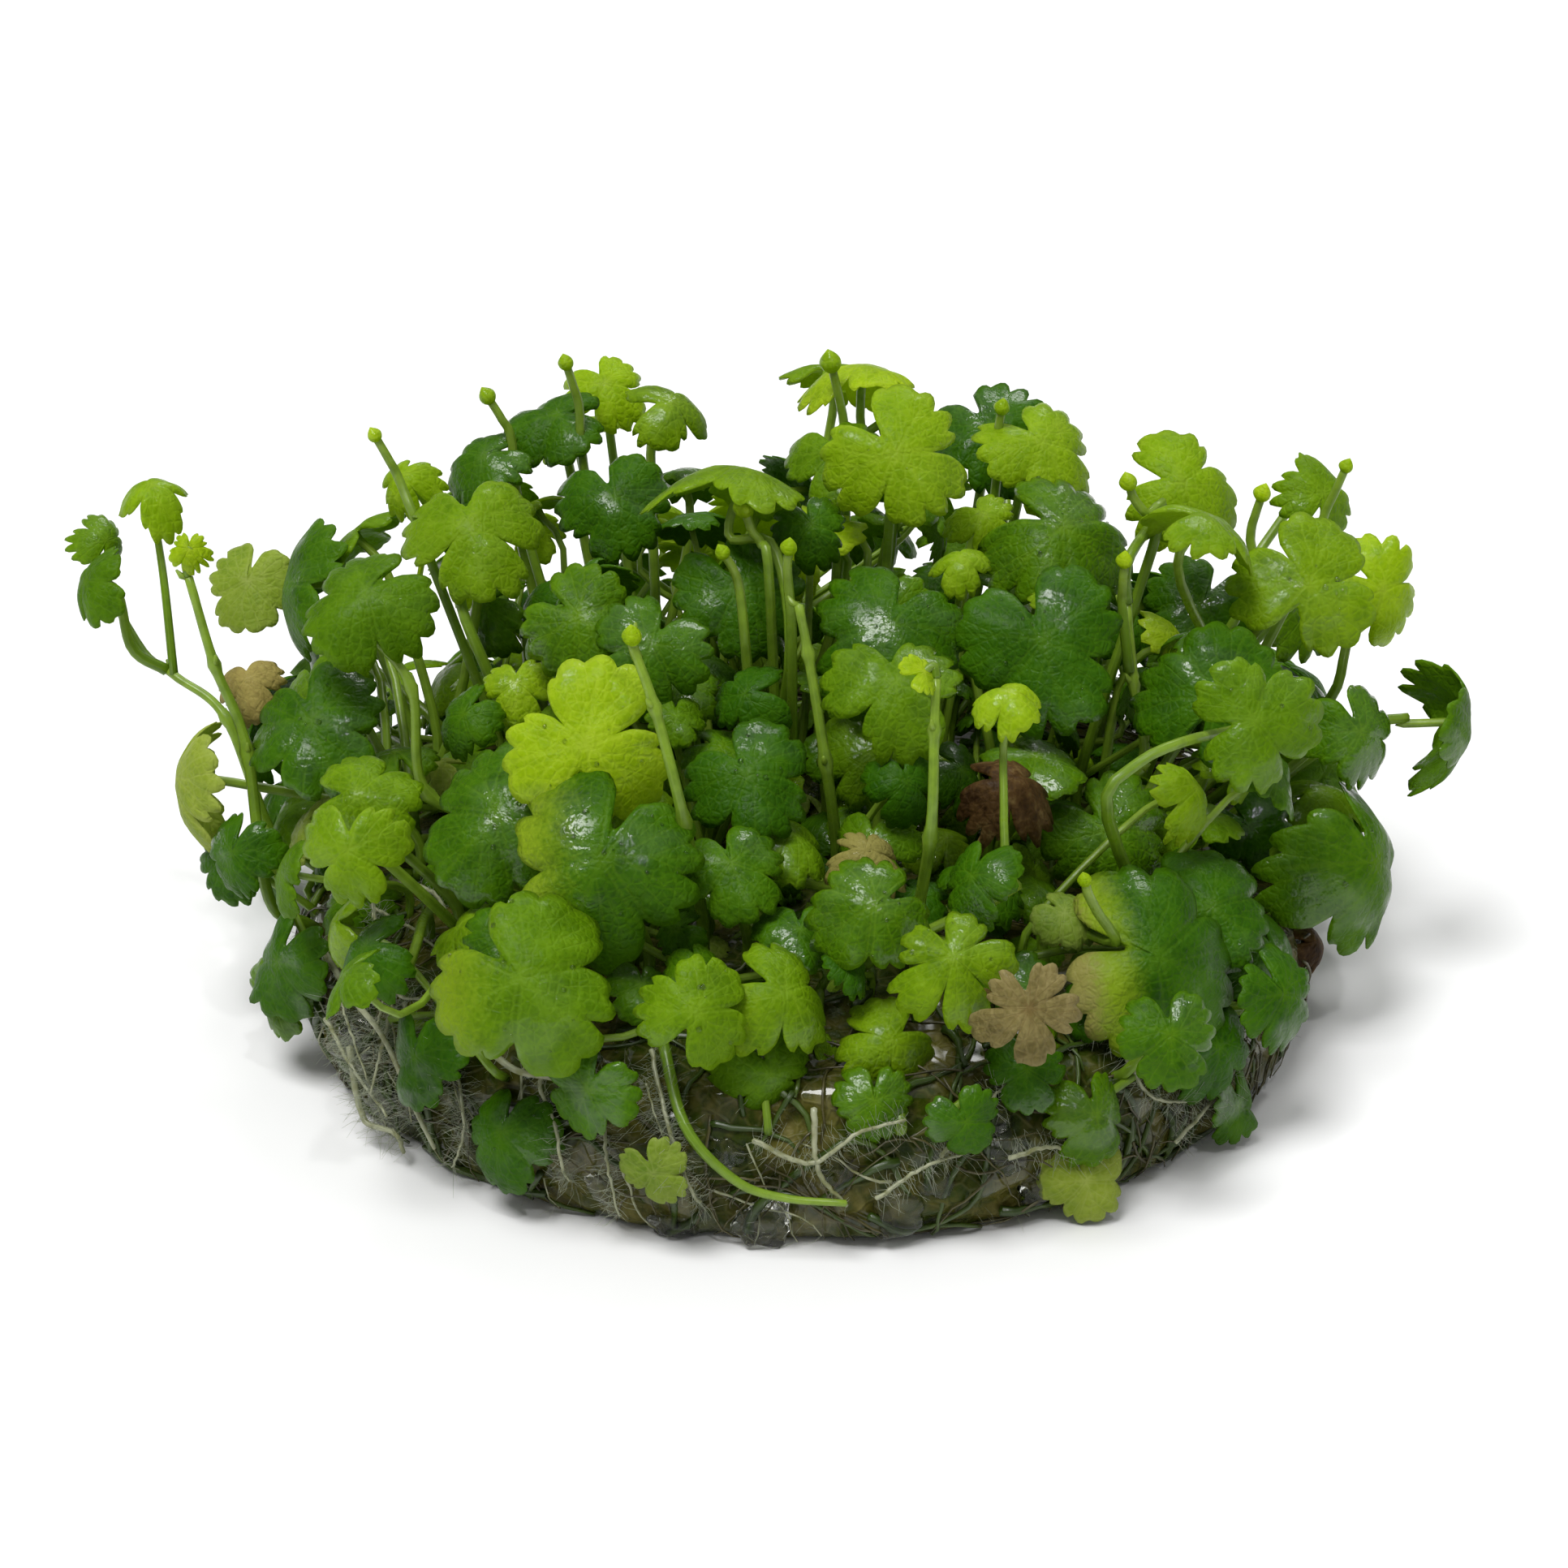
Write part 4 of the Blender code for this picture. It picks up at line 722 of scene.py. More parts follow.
def outline(leaf, grade, dice):
    """(angle, reach, angle within the lobe) of each column: rounded teeth round each lobe, a
    cleft between lobes, and the stalk's cleft."""
    centres, half, reaches = lobes_of(leaf)
    three = leaf.lobes == 3
    teeth = 5 if three else 3
    steps = grade.columns if three else 3 * (grade.columns // 5)
    steps -= steps % teeth
    notch = dice.uniform(*(NOTCHES[leaf.tone] if three else FIVE_NOTCHES))
    steep = dice.uniform(2.6, 5.0)
    columns = []
    for centre, reach in zip(centres, reaches):
        sizes = [dice.uniform(0.3, 1.7) for _ in range(teeth)]
        lean = dice.uniform(-0.10, 0.10)
        reach *= dice.uniform(0.93, 1.03)
        for k in range(steps):
            u = -1 + 2 * k / steps
            place = k / steps * teeth
            crown = abs(math.sin(math.pi * place)) ** 0.85
            full = notch + (reach - notch) * (1 - abs(u) ** steep) ** 0.8
            full *= 1 + lean * u
            dip = leaf.jag * sizes[int(place)] * (1 - crown) * min(1.0, 1.6 * (1.05 - abs(u)))
            columns.append((centre + u * half, full * (1 - dip), u * LOBE_HALF))
    columns.append((centres[-1] + half, notch, LOBE_HALF))
    for angle, share in CLEFT:
        inside = LOBE_HALF + min(angle - CLEFT_FROM, 360 - CLEFT_FROM - angle)
        columns.append((angle, share, inside))
    angles, reach, inside = (np.array(column) for column in zip(*columns))
    return np.radians(angles), reach, np.radians(inside)


def blade_surface(leaf, top, shares, angles, reach, dice, inside=None):
    """The blade's middle surface as a grid of points, ring after ring. With inside, the angle of
    each column within its lobe, it has its waves and arched lobes too."""
    ahead, side, up = (np.array(axis) for axis in blade_axes(leaf))
    out = reach[None, :] * shares[:, None] * leaf.radius
    x, y = out * np.cos(angles), out * np.sin(angles)
    far = out / leaf.radius
    wave = 0.10 * np.sin(3 * angles + leaf.spin) * far ** 2
    rise = leaf.radius * (wave - leaf.cup * far ** 2) - leaf.fold * np.abs(y) * far
    if inside is not None:
        phases = [dice.uniform(0, math.tau) for _ in range(3)]
        count = dice.choice((7, 8, 9, 11))
        once, twice = np.sin(angles + phases[0]), np.sin(2 * angles + phases[1])
        bend = (0.10 * once + 0.10 * twice) * far ** 2
        bend += leaf.ruffle * np.sin(count * angles + phases[2]) * far ** 5
        beside = np.abs(inside) / math.radians(LOBE_HALF)
        bend -= dice.uniform(0.06, 0.24) * beside ** 2 * far ** 1.5
        for centre in lobes_of(leaf)[0]:
            apart = np.abs((angles - math.radians(centre) + math.pi) % math.tau - math.pi)
            bend -= dice.uniform(-0.12, 0.52) * np.clip(1.2 - apart, 0, 1) * far ** 2.2
        bend += 0.022 * (np.sin(x / leaf.radius * 8.3 + phases[0])
                         * np.sin(y / leaf.radius * 7.1 + phases[1])) * np.clip(3 * far, 0, 1)
        bend -= dice.uniform(0.02, 0.10) * shares[:, None] ** 5 * far
        rise += bend * leaf.radius
    return np.array(top) + x[..., None] * ahead + y[..., None] * side + rise[..., None] * up


def vein_distance(along, across):
    """The distance to the nearest of the three main veins, as a share of the leaf's radius."""
    here = np.stack([along, across], -1)
    nearest = np.full(along.shape, np.inf)
    for start, end, _ in VEINS[:3]:
        start, way = np.array(start), np.array(end) - np.array(start)
        t = np.clip(((here - start) @ way) / (way @ way), 0, 1)
        nearest = np.minimum(nearest, np.linalg.norm(here - start - t[..., None] * way, axis=-1))
    return nearest


def two_sheets(above, below):
    """A blade's two grids as the rings of one closed form: out on the first sheet from its middle
    and back in on the second."""
    return np.vstack([above[0, :1], *above[1:], *below[:0:-1], below[0, :1]])


# How far the blade rises between its veins, as a share of its radius, and how far from a vein it
# is at its full height.
SWELL = 0.008
SWELL_WIDTH = 0.14

# A stalk's radius at its foot and how much thinner it is at the blade, as shares of its own, and
# the share of its length from which it widens to meet the blade, and by how much.
STALK_FOOT = 0.90
STALK_THINNING = 0.28
FLARE_FROM = 0.93
FLARE = 0.5


def add_leaf(shape, leaf, path, top, grade, dice, finishes):
    """One leaf: a thin closed blade with pressed-in veins, and its stalk. It returns the places
    and normals of the blade's upper side."""
    angles, reach, inside = outline(leaf, grade, dice)
    shares = (np.arange(grade.rows + 1) / grade.rows) ** 0.85
    grid = blade_surface(leaf, top, shares, angles, reach, dice, inside)
    ring = np.roll(grid, -1, axis=1) - np.roll(grid, 1, axis=1)
    normals = np.cross(np.gradient(grid, axis=0), ring)
    up = np.array(blade_axes(leaf)[2])
    normals[0] = up
    normals = unit(normals)
    if np.mean(normals @ up < 0) >= 0.5:
        normals = -normals
    shares = shares[:, None]
    out = reach * shares
    along, across = out * np.cos(inside), np.abs(out * np.sin(inside))
    swell = SWELL * leaf.radius * np.clip(vein_distance(along, across) / SWELL_WIDTH, 0, 1)
    swell = swell * np.clip(4 * out, 0, 1) * np.clip(4 * (1 - shares), 0.2, 1)
    middle = grid + normals * swell[..., None]
    half = (RIM_HALF + (BLADE_HALF - RIM_HALF) * np.sqrt(1 - shares ** 4))[..., None]
    above, below = middle + normals * half, middle - normals * half
    aged = leaf.age[0] * np.clip(1.4 * out * np.sin(angles - math.radians(leaf.age[1])), 0, 1)
    if leaf.age[1] == WHOLE:
        aged = leaf.age[0]
    tint = dice.uniform(-1, 1)
    lobe = np.stack(np.broadcast_arrays(along, across, shares), -1)
    looks = [np.stack(np.broadcast_arrays(aged, tint, under, out)[:3], -1) for under in (0, 1)]
    shape.add(two_sheets(above, below), ringed(2 * grade.rows, len(angles)), finishes[leaf.tone],
              two_sheets(lobe, lobe), two_sheets(*looks))
    path = smooth_path(path, grade.stalk_steps)
    path[-1] = path[-1] - Vector(up) * BLADE_HALF * 0.5
    t = np.linspace(0, 1, grade.stalk_steps)
    radii = stalk_radius(leaf) * (STALK_FOOT - STALK_THINNING * t)
    radii *= 1 + FLARE * np.clip((t - FLARE_FROM) / (1 - FLARE_FROM), 0, 1)
    stalk = "stalk_old" if leaf.tone == "tan" else "stalk"
    add_tube(shape, path, radii, grade.stalk_sides, finishes[stalk], (0, tint, 0))
    return above[1:-1], normals[1:-1]


# The leaves that carry water drops, and how many each.
WET = {"leaf_front_broad": 26, "leaf_front_drooping": 18, "leaf_gloss_upper": 14,
       "leaf_gloss_lower": 10, "leaf_centre_broad": 12, "leaf_foot_round": 12,
       "leaf_front_cross": 10, "leaf_front_shade": 12, "leaf_front_crown": 6,
       "leaf_front_middle": 8, "leaf_right_folded": 6, "leaf_top_gold": 6, "leaf_middle_shade": 8,
       "leaf_front_gold": 8, "leaf_right_star": 6, "leaf_left_broad": 8, "leaf_right_upper": 6}


def add_drops(shape, surface, count, finish, dice):
    """Water drops here and there on a blade's upper side."""
    above, normals = surface
    rings, sides = 4, 9

    def point(share, turn):
        if share == 1:
            return place
        tilt = 0.5 * math.pi * share * (rings + 1) / rings
        return (place + (one * math.cos(turn) + two * math.sin(turn)) * radius * math.sin(tilt)
                + out * radius * 0.8 * math.cos(tilt))

    for _ in range(count):
        i, k = dice.randrange(len(above)), dice.randrange(above.shape[1])
        radius = 0.05 + 0.17 * dice.random() ** 3
        out = Vector(normals[i, k])
        place = Vector(above[i, k]) - out * radius * 0.15
        one, two = cross_ways(out)
        shape.add(closed(rings, sides, point), ringed(rings, sides), finish)


def stalk_radius(leaf):
    """Small leaves have thinner stalks."""
    return PETIOLE_RADIUS * (0.75 if leaf.radius < 3 else 1.0)


def stalk_points(leaf, top, foot, out):
    """What the stalk's line runs through: it leaves its foot along out and meets the blade from
    below."""
    up = blade_axes(leaf)[2]
    span = (top - foot).length
    below = top - up * min(0.30 * span, 4.0)
    middle = [seen(*point) + (top - seen(*leaf.at)) for point in reversed(leaf.via)]
    rise = foot + out * min(0.22 * span, 4.0)
    return [foot, *(middle or [rise]), below, top]


def coarse(leaf, top, path, gap):
    """(points, faces) of a coarse blade and stalk, gap thicker all round, which stand in for a
    leaf where leaves are kept from crossing. The stalk's faces come first."""
    points, faces = [], []
    radius = stalk_radius(leaf) + gap
    for a, b in zip(path, path[1:]):
        way = (b - a).normalized()
        one = way.orthogonal().normalized() * radius
        two = way.cross(one)
        base = len(points)
        for end in (a, b):
            points += [end + one, end + two, end - one, end - two]
        faces += [(base + k, base + (k + 1) % 4, base + 4 + (k + 1) % 4, base + 4 + k)
                  for k in range(4)]
    angles = np.radians(np.arange(0, 360, 20))
    half = math.radians(lobes_of(leaf)[1])
    folded = np.abs((angles + half) % (2 * half) - half) / half
    reach = (0.5 + 0.5 * (1 - folded ** 3)) * (1 + gap / leaf.radius)
    grid = blade_surface(leaf, top, COARSE_RINGS, angles, reach, None)
    count = len(angles)
    up = np.array(blade_axes(leaf)[2]) * (BLADE_HALF + gap)
    for side in (-1, 1):
        base = len(points)
        rows = [grid[0, :1], grid[1], grid[2]]
        points += [Vector(p + side * up) for row in rows for p in row]
        for k in range(count):
            n = (k + 1) % count
            faces.append((base, base + 1 + k, base + 1 + n))
            faces.append((base + 1 + k, base + 1 + count + k, base + 1 + count + n, base + 1 + n))
    return points, faces


class Neighbours:
    """What has been placed so far, to test new leaves against."""

    def __init__(self):
        self.kept = []

    def add(self, name, points, faces, stalk_faces=0):
        """stalk_faces is how many of the faces, the first, belong to a stalk."""
        array = np.array([tuple(p) for p in points])
        self.kept.append((name, array.min(0), array.max(0), BVHTree.FromPolygons(points, faces),
                          BVHTree.FromPolygons(points, faces[stalk_faces:])))

    def crossing(self, points, faces, skip=(), stalk_faces=0):
        """How many of the kept things a coarse leaf crosses. Its first stalk_faces faces are a
        stalk that only blades stop."""
        array = np.array([tuple(p) for p in points])
        low, high = array.min(0), array.max(0)
        blade = None
        found = 0
        for name, least, most, whole, other_blade in self.kept:
            if name in skip or (least > high).any() or (most < low).any():
                continue
            if blade is None:
                blade = BVHTree.FromPolygons(points, faces[stalk_faces:])
                stalk = BVHTree.FromPolygons(points, faces[:stalk_faces]) if stalk_faces else None
            found += bool(blade.overlap(whole) or (stalk and stalk.overlap(other_blade)))
        return found


def node_tree(name):
    """(points, faces, tree) of a CAD node in millimetres."""
    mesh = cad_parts[name].data
    points = [v.co / MM for v in mesh.vertices]
    faces = [tuple(p.vertices) for p in mesh.polygons]
    return points, faces, BVHTree.FromPolygons(points, faces)


def node_corners(name):
    """A CAD node's corners as a search tree in millimetres."""
    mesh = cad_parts[name].data
    tree = KDTree(len(mesh.vertices))
    for k, vert in enumerate(mesh.vertices):
        tree.insert(vert.co / MM, k)
    tree.balance()
    return tree


MAT_TREE = node_tree("root_mat")[2]


def foot_on_mat(place, turn):
    """(foot, way out) of a stalk on the mat under a leaf at place: on top of the mat, or on its
    side for a leaf that hangs low outside it."""
    level = Matrix.Rotation(math.radians(turn), 3, "Z") @ Vector((place.x, place.y, 0))
    if level.length > MAT_RADIUS - 4 and place.z < MAT_HEIGHT + 3:
        height = min(max(place.z * 0.8, 0.35 * MAT_HEIGHT), 0.75 * MAT_HEIGHT)
        start = level.normalized() * 2 * MAT_RADIUS + Vector((0, 0, height))
        hit, normal = MAT_TREE.ray_cast(start, -level.normalized())[:2]
        out = (normal + Vector((0, 0, 0.3))).normalized()
    else:
        inward = min(0.80, (MAT_RADIUS - 5.5) / max(level.length, 1e-6))
        start = level * inward + Vector((0, 0, 5 * MAT_HEIGHT))
        hit, normal = MAT_TREE.ray_cast(start, Vector((0, 0, -1)))[:2]
        out = (normal + 2 * Vector((0, 0, 1))).normalized()
    return hit + normal * (SEAT_GAP + 0.25 * PETIOLE_RADIUS), out


def joined(leaf, points, stem_lines):
    """A stalk's points with its foot inside the stem that carries it."""
    if not leaf.stem:
        return points
    stem = stem_lines[leaf.stem]
    return [min(stem, key=lambda point: (point - points[0]).length), *points[1:]]


def foot_on_stem(stem, top, joint):
    """(foot, way out) of a stalk at the end of a stem, for joint 0, or beside it further down."""
    way = (stem[-1 - joint] - stem[-2 - joint]).normalized()
    if joint == 0:
        out = (way + 0.4 * (top - stem[-1]).normalized()).normalized()
        return stem[-1] + out * (SEAT_GAP + 0.2), out
    aside = top - stem[-1 - joint]
    aside = (aside - aside.dot(way) * way).normalized()
    foot = stem[-1 - joint] + aside * (1.35 * STEM_RADIUS + SEAT_GAP + PETIOLE_RADIUS)
    return foot, (aside + way).normalized()


def foot_of(leaf, top, turn, stem_lines):
    """(foot, way out) of a leaf's stalk: at a joint of its stem, or turned round the mat."""
    if leaf.stem:
        return foot_on_stem(stem_lines[leaf.stem], top, turn)
    return foot_on_mat(top, turn)


def tips(leaf, top):
    """Where the lobes' ends and the clefts between them lie in the solid of a leaf."""
    centres, half, reaches = lobes_of(leaf)
    notch = 0.58 if leaf.lobes == 3 else 0.52
    angles = list(centres) + [centre + half for centre in centres[:-1]]
    reach = list(reaches) + [notch] * (len(centres) - 1)
    grid = blade_surface(leaf, top, np.array([1.0]), np.radians(angles), np.array(reach), None)
    return [Vector(p) for p in grid[0]]


# By how much a later try has to lie nearer to the node than the best so far, in millimetres.
LEAST_GAIN = 1e-6


def fit(leaf, name, own, stem_lines):
    """(leaf, stalk points, top) of a CAD leaf, by trying the places that the part's source may
    have settled on and keeping the one whose lobes and stalk lie on the node. own has the (stalk
    points, top) of the leaves of its tuft so far, whose stalks join."""
    corners, tree = node_corners(name), node_tree(name)[2]
    across, up, deep = leaf.at
    best = None
    for shrink, deeper in itertools.product(SHRINKS, DEEPER):
        tried = leaf._replace(radius=leaf.radius * shrink)
        top = seen(across, up, deep + deeper)
        ends = tips(tried, top)
        error = sum(corners.find(end)[2] for end in ends) / len(ends)
        if best is None or error < best[0] - LEAST_GAIN:
            best = (error, tried, top)
    _, leaf, top = best
    if own:
        first, first_top = own[0]
        way = (first[1] - first[0]).normalized()
        aside = top - first_top
        aside -= aside.project(way)
        out = (way + aside.normalized()).normalized()
        return leaf, stalk_points(leaf, top, first[0] + way * 0.5, out), top
    best = None
    for turn in (JOINTS if leaf.stem else FOOT_TURNS):
        points = stalk_points(leaf, top, *foot_of(leaf, top, turn, stem_lines))
        line = smooth_path(points, 5)
        error = sum(tree.find_nearest(point)[3] for point in line) / len(line)
        if best is None or error < best[0] - LEAST_GAIN:
            best = (error, points)
    return leaf, joined(leaf, best[1], stem_lines), top


# What a leaf that the CAD leaves out tries until it is clear, and how clear.
EXTRA_DEEPER = (0, 0.8, -0.8, 1.6, -1.6, 2.6, -2.6, 4.0, -4.0, 5.5, 7.0)
EXTRA_TURNS = (0, 20, -20, 45, -45)
EXTRA_GAP = 0.08


def settle(leaf, neighbours, stem_lines):
    """(stalk points, top) of a leaf that the CAD leaves out, clear of its neighbours where that
    can be."""
    across, up, deep = leaf.at
    best = None
    for deeper, turn in itertools.product(EXTRA_DEEPER, JOINTS if leaf.stem else EXTRA_TURNS):
        top = seen(across, up, deep + deeper)
        foot, out = foot_of(leaf, top, turn, stem_lines)
        if not leaf.stem:
            foot = foot - out * FOOT_DEPTH
        points = stalk_points(leaf, top, foot, out)
        soup = coarse(leaf, top, smooth_path(points, COARSE_STEPS)[1:], EXTRA_GAP)
        found = neighbours.crossing(*soup, skip=("root_mat", leaf.stem))
        if best is None or found < best[0]:
            best = (found, points, top)
        if not found:
            break
    return joined(leaf, best[1], stem_lines), best[2]


def back_leaves():
    """The leaves of the hidden side, tuft after tuft round the back."""
    made = []
    for i in range(BACK_TUFTS):
        middle = BACK_FROM + (BACK_TO - BACK_FROM) * i / (BACK_TUFTS - 1)
        for k, spray in enumerate(BACK_SPRAY):
            bearing = middle + spray.swing * (1 if i % 2 else -1)
            reach = spray.reach - 2.0 * ((i + k) % 3)
            at = seen_from_place(*polar(bearing, reach, spray.height + 1.5 * ((i * 2 + k) % 3)))
            made.append(Leaf(f"leaves_back_{i + 1}", at, spray.radius, (90 + bearing, spray.lean),
                             30 * ((i + k) % 3 - 1), spray.tone, 0.24))
    return made


def stem_path(points):
    """The points that a stem's line runs through, as the part's source has them."""
    places = [seen(*point) for point in points]
    foot, out = foot_on_mat(places[0], 0)
    return [foot + out * 0.2, foot + out * 3.5, *places[1:]]


def coarse_stem(points):
    """The part's own line of a stem, which its stalks leave from."""
    line = smooth_path(stem_path(points), 6)
    way = (line[-1] - line[-2]).normalized()
    return line[:-1] + [line[-1] - 0.9 * way, line[-1], line[-1] + 0.6 * way]


# A stem's radius at its foot and how much thinner it is at its end, as shares of the CAD's, the
# swelling of its joints, and the number of places along it.
STEM_FOOT = 0.74
STEM_THINNING = 0.26
JOINT_SWELL = 0.50
STEM_STEPS = 34


def add_stem(shape, points, finishes, dice):
    """A stem with swollen joints along it and little sheaths where stalks leave it."""
    path = stem_path(points)
    line = smooth_path(path, STEM_STEPS)
    line[0] = line[0] - (line[1] - line[0]).normalized() * FOOT_DEPTH
    line[-1] = line[-1] + (line[-1] - line[-2]).normalized() * 0.5
    knots = [round(k / (len(path) - 1) * (STEM_STEPS - 1)) for k in range(2, len(path))]
    radii = []
    for k in range(STEM_STEPS):
        swell = sum(JOINT_SWELL * math.exp(-((k - knot) / 0.7) ** 2) for knot in knots)
        radii.append(STEM_RADIUS * (STEM_FOOT - STEM_THINNING * k / STEM_STEPS) * (1 + swell))
    radii[-1] *= 0.7
    tint = dice.uniform(-0.6, 0.6)
    add_tube(shape, line, radii, 12, finishes["stem"], (0, tint, 0))
    for knot in knots:
        way = (line[knot] - line[knot - 1]).normalized()
        around = way.orthogonal().normalized()
        out = Matrix.Rotation(dice.uniform(0, math.tau), 3, way) @ around
        tip = line[knot] + out * (1.1 * STEM_RADIUS) + way * 0.60
        add_tube(shape, [line[knot] + out * 0.1, line[knot] + out * 0.40 + way * 0.2, tip],
                 (0.18, 0.20, 0.08), 7, finishes["stalk"], (0, 0.5, 0), (0.6, 1.0))


def add_bud(shape, place, radius, way, finishes, dice):
    """A closed leaf bud: an egg of folded lobes."""
    rings, sides = 8, 15
    way = way.normalized()
    one, two = cross_ways(way)

    def point(share, turn):
        size = radius * math.sin(math.pi * share ** 0.85)
        fold = 1 - 0.16 * abs(math.sin(1.5 * turn)) ** 0.5 * math.sin(math.pi * share)
        return (place + way * (2.2 * radius * (share - 0.35))
                + (one * math.cos(turn) + two * math.sin(turn)) * size * fold)

    lobe = closed(rings, sides, lambda share, turn: (share, 0.3 if 0 < share < 1 else 0, share))
    shape.add(closed(rings, sides, point), ringed(rings, sides, climbing=True),
              finishes["young"], lobe, (0, dice.uniform(0, 1), 0))


def mat_hit(across, up):
    """(place, normal) of the mat's surface where the photograph shows (across, up)."""
    hit, normal = MAT_TREE.ray_cast(EYE, (seen(across, up, 0) - EYE).normalized())[:2]
    if hit is None:
        hit, normal = MAT_TREE.find_nearest(seen(across, up, -0.7 * MAT_RADIUS))[:2]
    return hit, normal


def over_mat(points, height):
    """The places at a height over the mat that show at (across, up) points."""
    return [hit + normal * height for hit, normal in (mat_hit(*point) for point in points)]


# The radii of a root hair from its foot to its tip.
HAIR_RADII = (0.016, 0.013, 0.006)


def add_hairs(shape, line, length, per_mm, material, dice):
    """Fine hairs that stand off a root all round."""
    for a, b in zip(line, line[1:]):
        span = (b - a).length
        way = (b - a).normalized()
        one = way.orthogonal().normalized()
        for _ in range(int(span * per_mm + dice.random())):
            start = a.lerp(b, dice.random())
            out = Matrix.Rotation(dice.uniform(0, math.tau), 3, way) @ one
            out = (out + way * dice.uniform(-0.5, 0.5)).normalized()
            reach = length * dice.uniform(0.3, 1.3)
            bend = Matrix.Rotation(dice.uniform(0, math.tau), 3, out) @ out.orthogonal()
            bend = bend.normalized() * reach * dice.uniform(0.0, 0.3)
            tip = start + out * reach
            if tip.z >= 0.1:
                middle = start + out * reach * 0.5 + bend
                add_tube(shape, [start, middle, tip], HAIR_RADII, 3, material)


def build_mat(finish):
    """The root mat's own skin: the solid's form, finely lumpy."""
    rings, sides = 63, 220
    middle = Vector((0, 0, MAT_HEIGHT / 2))

    def point(share, turn):
        tilt = math.pi * share
        way = Vector((math.sin(tilt) * math.cos(turn), math.sin(tilt) * math.sin(turn),
                      math.cos(tilt)))
        way.z *= 0.45
        way.normalize()
        hit = MAT_TREE.ray_cast(middle, way)[0]
        if hit.z > 0.05:
            lump = (0.75 * noise.noise(hit * 0.35) + 0.40 * noise.noise(hit * 0.9)
                    + 0.22 * noise.noise(hit * 2.2))
            hit = hit + way * (lump - 0.15) * min(1.0, hit.z)
        hit.z = max(hit.z, 0.0)
        return hit

    shape = Shape()
    shape.add(closed(rings, sides, point), ringed(rings, sides), finish)
    shape.piece("matted_roots", "root_mat", "root_mat")


# The finish, radius, length and lift off the mat of each kind of strand, the length of a step
# along one, and how much it sinks at each.
STRANDS = (("root", 0.08, 9, 0.25), ("root_old", 0.10, 14, 0.2), ("stem_old", 0.20, 10, 0.15),
           ("stem_old", 0.28, 13, 0.1), ("root_old", 0.08, 12, 0.3))
STRAND_STEP = 0.8
SAG = 0.10


def wander(start, heading, length, dice, lift):
    """A line that creeps over the mat's surface from a place on it."""
    place, normal = MAT_TREE.find_nearest(start)[:2]
    line = []
    way = heading.normalized()
    for k in range(max(4, int(length / STRAND_STEP))):
        line.append(place + normal * (lift + 0.12 * math.sin(k * 0.9)))
        side = normal.cross(way)
        way = (way + side * dice.uniform(-0.42, 0.42) + Vector((0, 0, -SAG))).normalized()
        place, normal = MAT_TREE.find_nearest(place + way * STRAND_STEP)[:2]
        way = (way - normal * way.dot(normal)).normalized()
    return [p for p in line if p.z > 0.15]


def build_tangle(finishes, dice):
    """Strands of root and old stem all over the mat, by quarters. The pale ones are at the left,
    as in the photograph."""
    for quarter, name in enumerate(("right", "back", "left", "front")):
        shape = Shape()
        for number in range(110 if name == "front" else 150):
            bearing = -45 + 90 * quarter + dice.uniform(0, 90)
            height = dice.uniform(0.5, MAT_HEIGHT + 2)
            reach = MAT_RADIUS * (1.0 if height < MAT_HEIGHT - 1 else dice.uniform(0.65, 1.0))
            start = Vector(polar(bearing, reach, height))
            kind, radius, length, lift = STRANDS[number % len(STRANDS)]
            if kind == "root" and start.x > 6:
                kind = "root_old"
            heading = Vector((dice.uniform(-1, 1), dice.uniform(-1, 1), dice.uniform(-1.2, 0.5)))
            line = wander(start, heading, length * dice.uniform(0.5, 1.5), dice, lift)
            if len(line) < 4:
                continue
            radius *= dice.uniform(0.7, 1.3)
            radii = np.linspace(radius, radius * 0.45, len(line))
            add_tube(shape, line, radii, 5, finishes[kind], (0, dice.uniform(-1, 1), 0))
            if number % 5 in (0, 2) and number % 3 == 0:
                add_hairs(shape, line, 0.9, 3.0, finishes["root_hair"], dice)
        shape.piece(f"root_tangle_{name}", "root")


# Lumps of clear gel on the mat's front, as (across, up, radius).
GEL = ((11.2, -6.2, 1.6), (9.6, -7.4, 1.1), (12.4, -8.6, 1.3), (5.6, -12.6, 1.4),
       (-2.6, -13.2, 1.5), (-8.2, -13.4, 1.2), (-12.6, -11.2, 1.0), (2.0, -9.8, 1.2),
       (18.6, -9.2, 1.3), (22.8, -6.6, 1.2), (-24.4, -6.4, 1.1), (-27.4, -1.2, 1.2),
       (-17.0, -3.4, 1.0), (14.6, -11.0, 1.2), (-5.0, -8.8, 1.0), (8.0, -10.6, 1.0))


def build_gel(finish, dice):
    """Clear gel that still clings to the front of the mat."""
    rings, sides = 14, 24
    shape = Shape()

    def point(share, turn):
        tilt = math.pi * share
        way = (one * math.cos(turn) + two * math.sin(turn)) * math.sin(tilt)
        lump = 1 + 0.55 * noise.noise(seed + way + out * math.cos(tilt))
        lump += 0.25 * noise.noise(seed + 3 * way)
        spot = place + (way + out * 0.42 * math.cos(tilt)) * radius * lump
        spot.z = max(spot.z, 0.05)
        return spot

    for across, up, radius in GEL:
        place, out = mat_hit(across, up)
        one, two = cross_ways(out)
        seed = Vector([dice.uniform(0, 50) for _ in range(3)])
        shape.add(closed(rings, sides, point), ringed(rings, sides), finish)
    shape.piece("gel_lumps", None)


